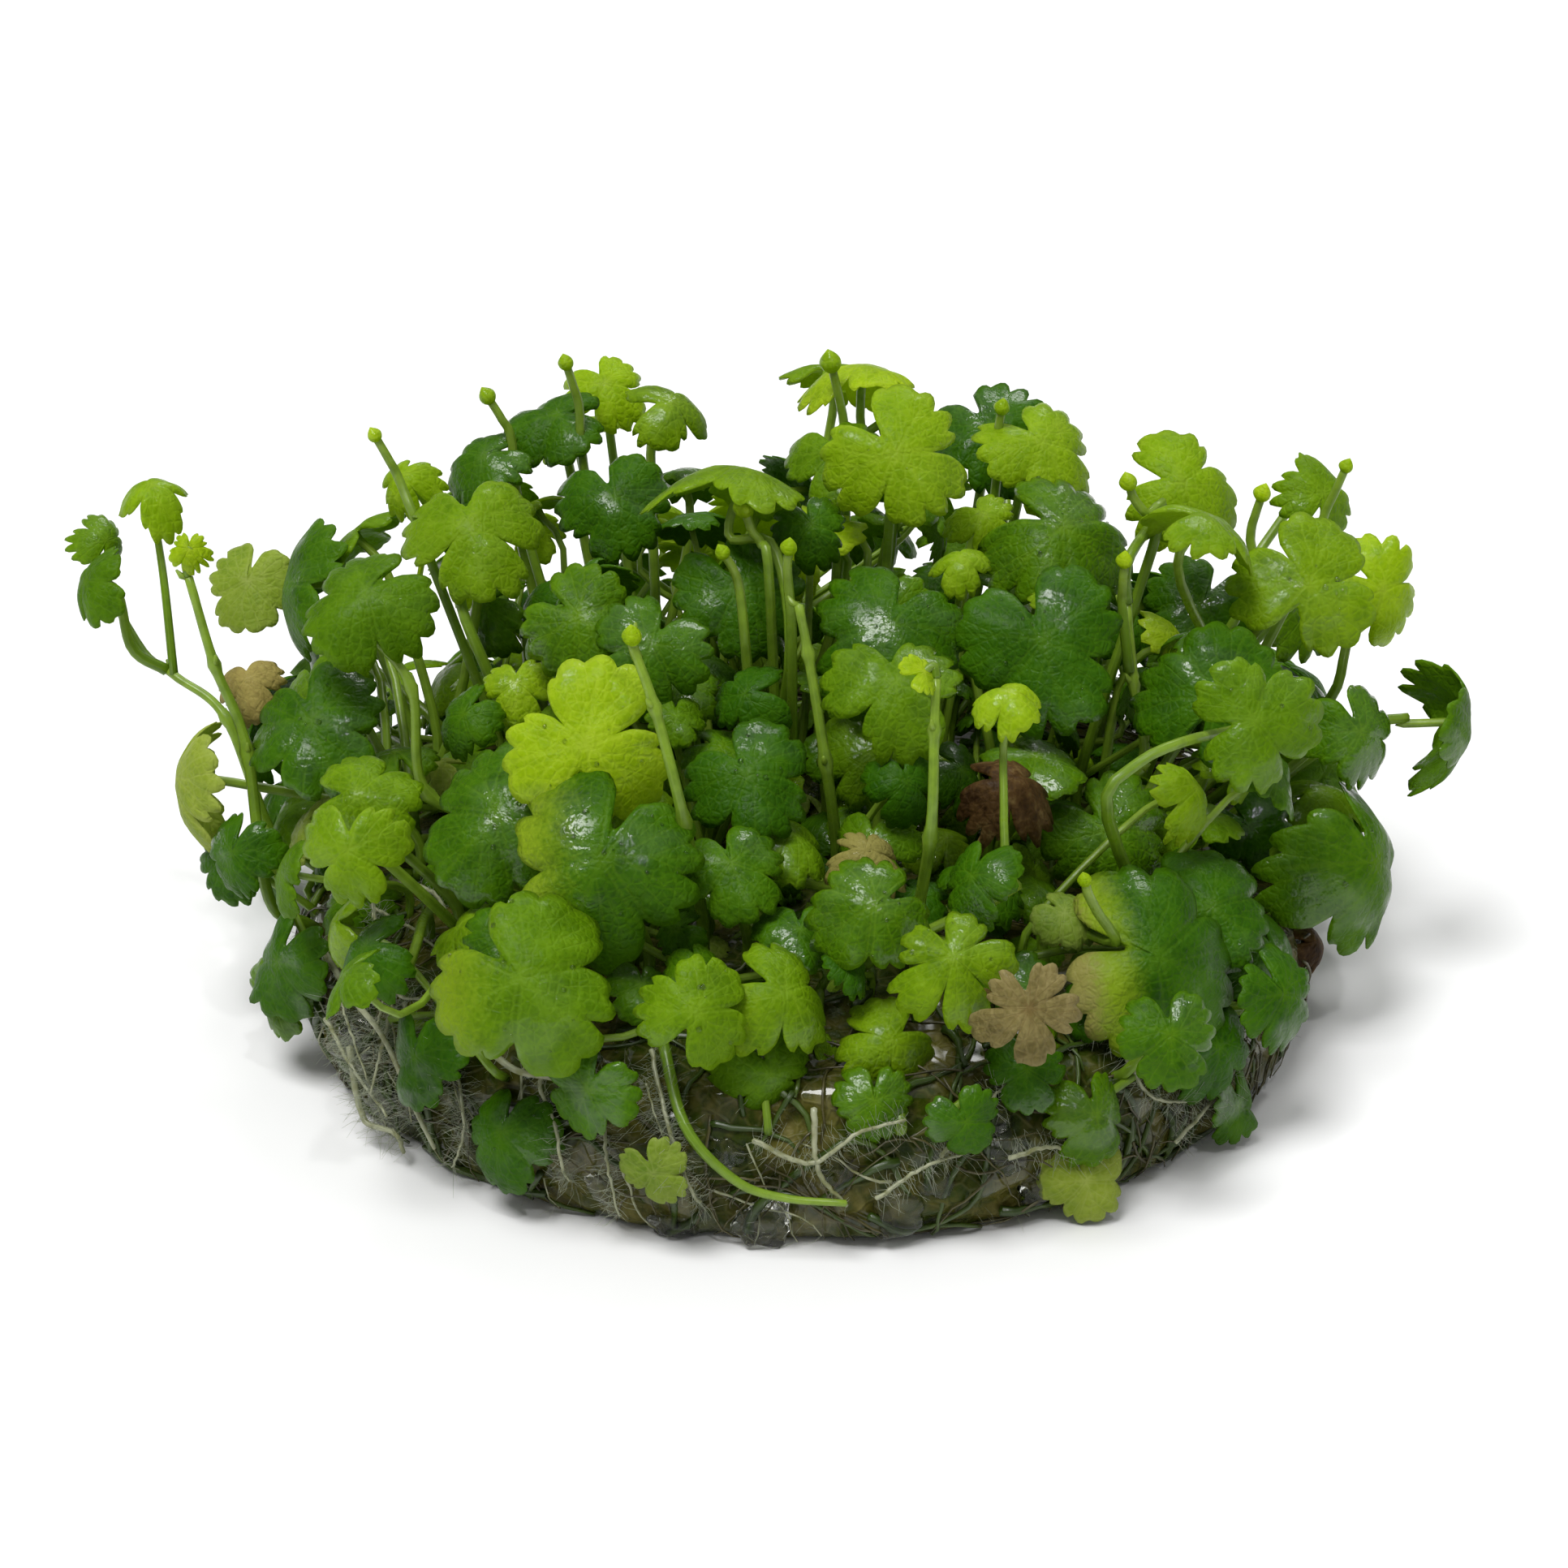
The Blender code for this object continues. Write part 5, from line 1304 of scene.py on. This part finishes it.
# White roots that the photograph shows in front of the mat: (across, up) points, a radius and how
# hairy each is.
PHOTO_ROOTS = (
    (((-26.3, 4.6), (-25.7, 1.8), (-24.1, 0.1), (-21.4, -0.4)), 0.20, 1.0),
    (((-26.1, 4.4), (-23.7, 3.2), (-21.2, 0.9)), 0.16, 0.6),
    (((-25.3, 6.0), (-22.6, 5.4), (-21.4, 3.6), (-20.6, 2.2)), 0.20, 0.5),
    (((-30.8, 4.4), (-33.0, 2.8), (-34.5, 1.7)), 0.20, 0.8),
    (((-32.0, 2.6), (-31.5, 0.1)), 0.14, 0.8),
    (((-23.9, -0.3), (-22.7, -4.4)), 0.18, 1.0),
    (((-24.7, -0.7), (-25.9, -5.2)), 0.18, 1.0),
    (((-26.9, -3.0), (-26.3, -6.5), (-25.7, -8.3), (-24.5, -9.8)), 0.30, 1.1),
    (((-10.2, -4.3), (-15.6, -4.4), (-14.7, -6.9), (-14.1, -9.9), (-13.0, -13.0)), 0.20, 1.0),
    (((-9.5, -3.4), (-8.3, -7.0), (-6.6, -11.0), (-5.5, -14.4)), 0.20, 1.1),
    (((-3.2, -7.8), (0.4, -8.6), (3.2, -7.4), (5.8, -6.6)), 0.22, 1.1),
    (((16.5, -1.4), (18.6, -2.6), (20.4, -5.2), (23.0, -5.8)), 0.20, 1.2),
    (((8.0, -8.4), (10.0, -6.6), (12.0, -4.4)), 0.18, 1.2),
    (((4.0, -11.0), (7.0, -9.0), (9.6, -8.4)), 0.18, 1.2),
    (((-28.5, -1.0), (-27.0, -4.0), (-26.4, -7.5)), 0.20, 1.1),
    (((-21.0, -4.0), (-20.4, -7.0), (-21.0, -9.6)), 0.16, 1.1),
    (((0.5, -5.8), (0.8, -9.0), (2.6, -11.4)), 0.26, 0.4),
    (((-12.0, -6.0), (-11.6, -9.0), (-11.0, -12.0)), 0.16, 1.1),
    (((12.0, -8.8), (14.5, -8.2), (17.0, -8.8)), 0.2, 1.1),
    (((22.0, -8.0), (24.0, -6.0), (25.6, -4.0)), 0.18, 1.0),
    (((-27.8, -0.4), (-26.2, -4.4), (-24.6, -8.4)), 0.12, 1.5),
    (((-25.2, 1.6), (-24.6, -2.4), (-23.4, -6.8)), 0.12, 1.5),
    (((-22.0, 0.4), (-21.6, -3.4), (-20.2, -7.0)), 0.12, 1.5),
    (((-9.6, -4.6), (-9.0, -6.6), (-7.8, -9.4)), 0.10, 1.7),
)


def build_front_roots(finishes, dice):
    """The hairy white roots of the photograph, in front of the mat."""
    shape, hairs = Shape(), Shape()
    for points, radius, hairiness in PHOTO_ROOTS:
        line = smooth_path(over_mat(points, 0.9 + radius), 8 + 5 * len(points))
        line = [p + Vector([dice.uniform(-1, 1) for _ in range(3)]) * 0.05
                for p in line if p.z > 0.2]
        radii = np.linspace(0.75 * radius, 0.4 * radius, len(line))
        add_tube(shape, line, radii, 7, finishes["root"], (0, dice.uniform(-1, 1), 0))
        add_hairs(hairs, line, 1.3 * hairiness, 17 * hairiness, finishes["root_hair"], dice)
    shape.piece("roots_front", "root")
    hairs.piece("root_hairs_front", "root")


# The highest leaves of the photograph from the left to the right, as (across, up), and where the
# filling leaves end at the right.
SKYLINE = ((-35, 3), (-34.5, 12), (-33, 23), (-29, 24), (-26, 20), (-22.5, 21), (-19.5, 27),
           (-17, 33), (-8, 34), (0, 33.5), (6, 33.5), (13, 31), (18, 28), (22, 25.5), (28, 25),
           (33, 24), (36, 17))
SKYLINE_END = 35


def under_skyline(across, up):
    """Whether the photograph has leaves as high as up there."""
    inside = SKYLINE[0][0] < across < SKYLINE_END
    return inside and up < np.interp(across, *zip(*SKYLINE))


# How many of a filling leaf's samples may stand before a leaf of the photograph, and how low up
# one may show in front, where the photograph has the bare mat.
MAY_HIDE = 2
BARE_BELOW = -2.0


def hides_photo(leaf, top, shown):
    """Whether a filling leaf would stand in front of something that the photograph shows, or
    show where it has no leaf."""
    angles = np.radians(np.arange(0, 360, 40))
    grid = blade_surface(leaf, top, COARSE_RINGS, angles, np.ones(len(angles)), None)
    before = 0
    for sample in (Vector(p) for p in [grid[0, 0], *grid[1], *grid[2]]):
        ray = sample - EYE
        hit = shown.ray_cast(EYE, ray.normalized())[0]
        if hit is not None and (hit - EYE).length < ray.length:
            continue
        across, up, _ = seen_from_place(*sample)
        before += hit is not None
        if before > MAY_HIDE or not under_skyline(across, up):
            return True
        if sample.y < 0 and up < BARE_BELOW:
            return True
    return False


# The clump's height in its middle, how much lower it is at its edge, and its radius there.
DOME_TOP = 31
DOME_DROP = 15
DOME_RADIUS = 37


def fill_leaf(dice):
    """(bearing, place, radius, lean, tone) of a leaf somewhere in the clump, facing outwards and
    up."""
    bearing = dice.uniform(0, 360)
    share = dice.random() ** 0.6
    dome = DOME_TOP - DOME_DROP * share ** 2.2
    low = MAT_HEIGHT + 2.5
    height = low + (dome - low) * dice.random() ** 0.6
    if share > 0.9 and dice.random() < 0.5:
        height = dice.uniform(5, 13)
    young = height > dome - 4 and dice.random() < 0.55
    tone = "young" if young else dice.choice(("mature", "mature", "fresh", "mature", "fresh"))
    lean = min(85, max(0, 14 + 52 * share + dice.gauss(0, 13)))
    place = Vector(polar(bearing, DOME_RADIUS * share, height))
    return bearing, place, dice.uniform(2.4, 4.9), lean, tone


def undergrowth_leaf(dice):
    """The same of a small leaf just over the mat."""
    share = dice.random() ** 0.5
    height = MAT_HEIGHT + dice.uniform(1.0, 7.0) - 3.0 * share ** 4
    tone = dice.choice(("mature", "mature", "mature", "fresh", "pale"))
    bearing = dice.uniform(0, 360)
    place = Vector(polar(bearing, (MAT_RADIUS + 1.5) * share, height))
    radius = dice.uniform(1.6, 3.4)
    return bearing, place, radius, min(75, abs(dice.gauss(0, 22)) + 45 * share ** 3), tone


def backdrop_leaf(dice):
    """The same of a leaf deeper in the clump that shows between those of the photograph."""
    while True:
        across, up, deep = dice.uniform(-33, 35), dice.triangular(4, 34, 27), dice.uniform(-10, 27)
        place = seen(across, up, deep)
        if under_skyline(across, up + 2) and place.to_2d().length < 40 and place.z > MAT_HEIGHT:
            break
    bearing = math.degrees(math.atan2(place.y, place.x))
    tone = dice.choice(("mature", "mature", "mature", "fresh", "fresh"))
    if up > 24 and dice.random() < 0.4:
        tone = "young"
    if -180 < bearing < 0:
        bearing += (-90 - bearing) * 0.4 * dice.random()
    return bearing, place, dice.uniform(2.4, 5.0), dice.uniform(6, 60), tone


# What makes a leaf of each layer, how many to make at most, and how often to try.
LAYERS = ((backdrop_leaf, 190, 6000), (fill_leaf, 110, 5000), (undergrowth_leaf, 220, 9000))

# How far these leaves may reach beyond the CAD's box, and how clear they keep of others.
ROOM = np.array((1.6, 1.2, 0.6))
FILL_GAP = 0.05
SECTORS = 8


def outside(points):
    """Whether a coarse leaf reaches too far out of the CAD's own box."""
    array = np.array([tuple(p) for p in points])
    low, high = np.array(CAD_LOW) / MM - ROOM, np.array(CAD_HIGH) / MM + ROOM
    return bool((array.min(0) < low).any() or (array.max(0) > high).any())


def build_fill(neighbours, shown, finishes, dice):
    """The leaves between, behind and under those that the photograph shows."""
    shapes = {}
    for make, wanted, tries in LAYERS:
        made = 0
        for _ in range(tries):
            if made >= wanted:
                break
            bearing, place, radius, lean, tone = make(dice)
            at = seen_from_place(*place)
            leaf = Leaf("fill", at, radius, (bearing + 90 + dice.gauss(0, 40), lean),
                        dice.uniform(-60, 60), tone, dice.uniform(0.12, 0.35),
                        dice.choice((0, 0.1, 0.2, 0.35)))
            top = seen(*at)
            if hides_photo(leaf, top, shown):
                continue
            foot, out = foot_on_mat(top, dice.uniform(-25, 25))
            points = stalk_points(leaf, top, foot - out * FOOT_DEPTH, out)
            soup = coarse(leaf, top, smooth_path(points, COARSE_STEPS)[1:], FILL_GAP)
            stalk_faces = STALK_FACES - 4
            if outside(soup[0]) or neighbours.crossing(*soup, ("root_mat",), stalk_faces):
                continue
            neighbours.add("fill", *soup, stalk_faces)
            sector = round(bearing * SECTORS / 360) % SECTORS
            add_leaf(shapes.setdefault(sector, Shape()), leaf, points, top, FILL, dice, finishes)
            made += 1
    for sector, shape in sorted(shapes.items()):
        shape.piece(f"inner_leaves_{sector + 1}", "leaf_mature")


# Each sun's power, its width in degrees and the way it shines.
SUNS = (
    ("key", 2.6, 26, (0.28, 0.32, -1.0)),
    ("glint", 0.35, 3, (-0.16, 0.50, -0.90)),
    ("back_light", 0.7, 20, (-0.2, -0.7, -0.8)),
)

# The sky's strength, from the height of a way (0 level, 1 straight up) to the light from there.
SKY = (("From Min", -0.1), ("From Max", 0.9), ("To Min", 0.07), ("To Max", 0.48))


def build_setting():
    """The floor, the lights and the camera at the photograph's angle."""
    bpy.ops.mesh.primitive_circle_add(vertices=64, radius=4.0, fill_type="NGON")
    floor = bpy.context.object
    floor.name = "floor"
    floor.data.materials.append(floor_finish())
    scene = bpy.context.scene
    scene.view_settings.view_transform = "Standard"
    world = bpy.data.worlds.new("studio")
    scene.world = world
    world.use_nodes = True
    tree = world.node_tree
    background = tree.nodes["Background"]
    background.inputs["Color"].default_value = (1.0, 1.0, 1.0, 1)
    height = tree.nodes.new("ShaderNodeSeparateXYZ")
    tree.links.new(tree.nodes.new("ShaderNodeTexCoord").outputs["Generated"], height.inputs[0])
    sky = tree.nodes.new("ShaderNodeMapRange")
    tree.links.new(height.outputs["Z"], sky.inputs["Value"])
    for socket, value in SKY:
        sky.inputs[socket].default_value = value
    tree.links.new(sky.outputs["Result"], background.inputs["Strength"])
    for name, power, spread, way in SUNS:
        light = bpy.data.lights.new(name, "SUN")
        light.energy = power
        light.angle = math.radians(spread)
        lamp = bpy.data.objects.new(name, light)
        lamp.rotation_euler = Vector(way).to_track_quat("-Z", "Y").to_euler()
        scene.collection.objects.link(lamp)
    camera = bpy.data.objects.new("camera", bpy.data.cameras.new("camera"))
    scene.collection.objects.link(camera)
    camera.data.lens = LENS
    camera.data.sensor_width = SENSOR
    camera.data.clip_start = 0.01
    aim = MM * Vector((AIM_ACROSS, AIM_UP * math.sin(LOOK_DOWN), AIM_UP * math.cos(LOOK_DOWN)))
    camera.location = aim + EYE_DISTANCE * MM * BACK_WAY
    camera.rotation_euler = (-BACK_WAY).to_track_quat("-Z", "Y").to_euler()
    scene.camera = camera


# The colours of each kind of stalk at its foot and its end, and of each kind of root in its pale
# and dark stretches, each with how much light comes through.
STALK_SKINS = (
    ("stalk", (0.16, 0.30, 0.010), (0.34, 0.50, 0.05), 0.40),
    ("stalk_old", (0.22, 0.12, 0.04), (0.36, 0.24, 0.08), 0.25),
    ("stem", (0.15, 0.28, 0.012), (0.30, 0.46, 0.04), 0.35),
    ("stem_old", (0.030, 0.060, 0.005), (0.065, 0.11, 0.010), 0.2),
)
ROOT_SKINS = (
    ("root", (0.52, 0.54, 0.36), (0.26, 0.27, 0.10), 0.4),
    ("root_old", (0.095, 0.085, 0.026), (0.032, 0.030, 0.007), 0.25),
    ("root_hair", (0.55, 0.58, 0.46), (0.36, 0.40, 0.28), 0.6),
)


def make_finishes():
    """The materials by their short names."""
    finishes = {tone: leaf_finish(tone) for tone in TONES}
    for name, low, high, share in STALK_SKINS:
        finishes[name] = stalk_finish(f"{name}_skin", low, high, share)
    for name, pale, dark, share in ROOT_SKINS:
        finishes[name] = root_finish(f"{name}_skin", pale, dark, share)
    finishes["water"] = water_finish()
    return finishes


def build_stems(neighbours, finishes):
    """The stems, the runner and the long roots in place of those of the CAD."""
    for name, points in STEMS.items():
        shape = Shape()
        add_stem(shape, points, finishes, random.Random(name))
        shape.piece(name.replace("stem", "shoot"), "stem", name)
    for name, points in TRAILS.items():
        kind, radius = ("stem", STEM_RADIUS) if name == "runner_front" else ("root", ROOT_RADIUS)
        line = smooth_path(over_mat(points, radius + SEAT_GAP + 0.7), 26)
        radii = [radius * (0.66 - 0.3 * k / len(line)) for k in range(len(line))]
        shape = Shape()
        add_tube(shape, line, radii, 10, finishes[kind])
        if kind == "root":
            add_hairs(shape, line, 0.9, 6.0, finishes["root_hair"], random.Random(name))
        shape.piece(f"long_{name}", kind, name)
    for name in (*STEMS, *TRAILS):
        neighbours.add(name, *node_tree(name)[:2])


def build_leaves(neighbours, shown, stem_lines, finishes, dice):
    """The leaves in place of those of the CAD, with the drops on them. shown takes the coarse
    forms of those that the photograph shows."""
    tufts = {}
    for leaf in LEAVES + back_leaves():
        tufts.setdefault(leaf.name, []).append(leaf)
    drops = Shape()
    for name, leaves in tufts.items():
        shape = Shape()
        own = []
        for number, asked in enumerate(leaves):
            leaf, points, top = fit(asked, name, own, stem_lines)
            own.append((points, top))
            grade = HERO if leaf.radius >= HERO_RADIUS else NEAR
            blade = add_leaf(shape, leaf, points, top, grade, random.Random(f"{name}{number}"),
                             finishes)
            if name in WET:
                add_drops(drops, blade, WET[name], finishes["water"], dice)
            soup = coarse(leaf, top, smooth_path(points, COARSE_STEPS), 0.0)
            neighbours.add(name, *soup, STALK_FACES)
            if not name.startswith("leaves_back"):
                shown.append(soup)
        shape.piece(name.replace("leaf", "blade").replace("leaves", "blades"),
                    TONES[leaves[0].tone].slot, name)
    return drops


def build_extras(neighbours, shown, stem_lines, finishes):
    """The leaves of the photograph that the CAD leaves out."""
    shapes = {}
    for number, leaf in enumerate(EXTRAS):
        points, top = settle(leaf, neighbours, stem_lines)
        soup = coarse(leaf, top, smooth_path(points, COARSE_STEPS), 0.0)
        neighbours.add(f"extra_{number}", *soup, STALK_FACES)
        shown.append(soup)
        shape = shapes.setdefault(leaf.name, (Shape(), leaf.tone))[0]
        add_leaf(shape, leaf, points, top, NEAR, random.Random(number), finishes)
    for name, (shape, tone) in shapes.items():
        shape.piece(f"{name}_leaves", TONES[tone].slot)


def blades_tree(soups):
    """The blades of coarse leaves as one tree."""
    points, faces = [], []
    for own_points, own_faces in soups:
        faces += [tuple(len(points) + k for k in face) for face in own_faces[STALK_FACES:]]
        points += own_points
    return BVHTree.FromPolygons(points, faces)


def build_buds(stem_lines, finishes, dice):
    """The leaf buds on their stalks, which start on a stem near by or on the mat."""
    shape = Shape()
    on_stems = [point for line in stem_lines.values() for point in line]
    for radius, points in BUDS:
        line = [seen(*point) for point in points]
        add_bud(shape, line[0], radius, line[0] - line[1], finishes, dice)
        if min((point - line[-1]).length for point in on_stems) > 2.0:
            foot, out = foot_on_mat(line[-1], 0)
            line += [foot + out * 3.0, foot - out * FOOT_DEPTH]
        line = smooth_path(line, 20)
        add_tube(shape, line, np.linspace(0.26, 0.34, len(line)), 8, finishes["stalk"],
                 (0, dice.uniform(-0.5, 0.5), 0), (1.0, 0.0))
    shape.piece("buds", "leaf_young")


def main():
    """The whole clump on its card."""
    dice = random.Random(41)
    finishes = make_finishes()
    neighbours = Neighbours()
    stem_lines = {name: coarse_stem(points) for name, points in STEMS.items()}
    shown = []
    build_mat(mat_finish())
    build_stems(neighbours, finishes)
    drops = build_leaves(neighbours, shown, stem_lines, finishes, dice)
    build_extras(neighbours, shown, stem_lines, finishes)
    build_fill(neighbours, blades_tree(shown), finishes, random.Random(7))
    build_buds(stem_lines, finishes, dice)
    drops.piece("water_drops", None)
    build_gel(finishes["water"], random.Random(3))
    build_front_roots(finishes, random.Random(5))
    build_tangle(finishes, random.Random(9))
    build_setting()


main()
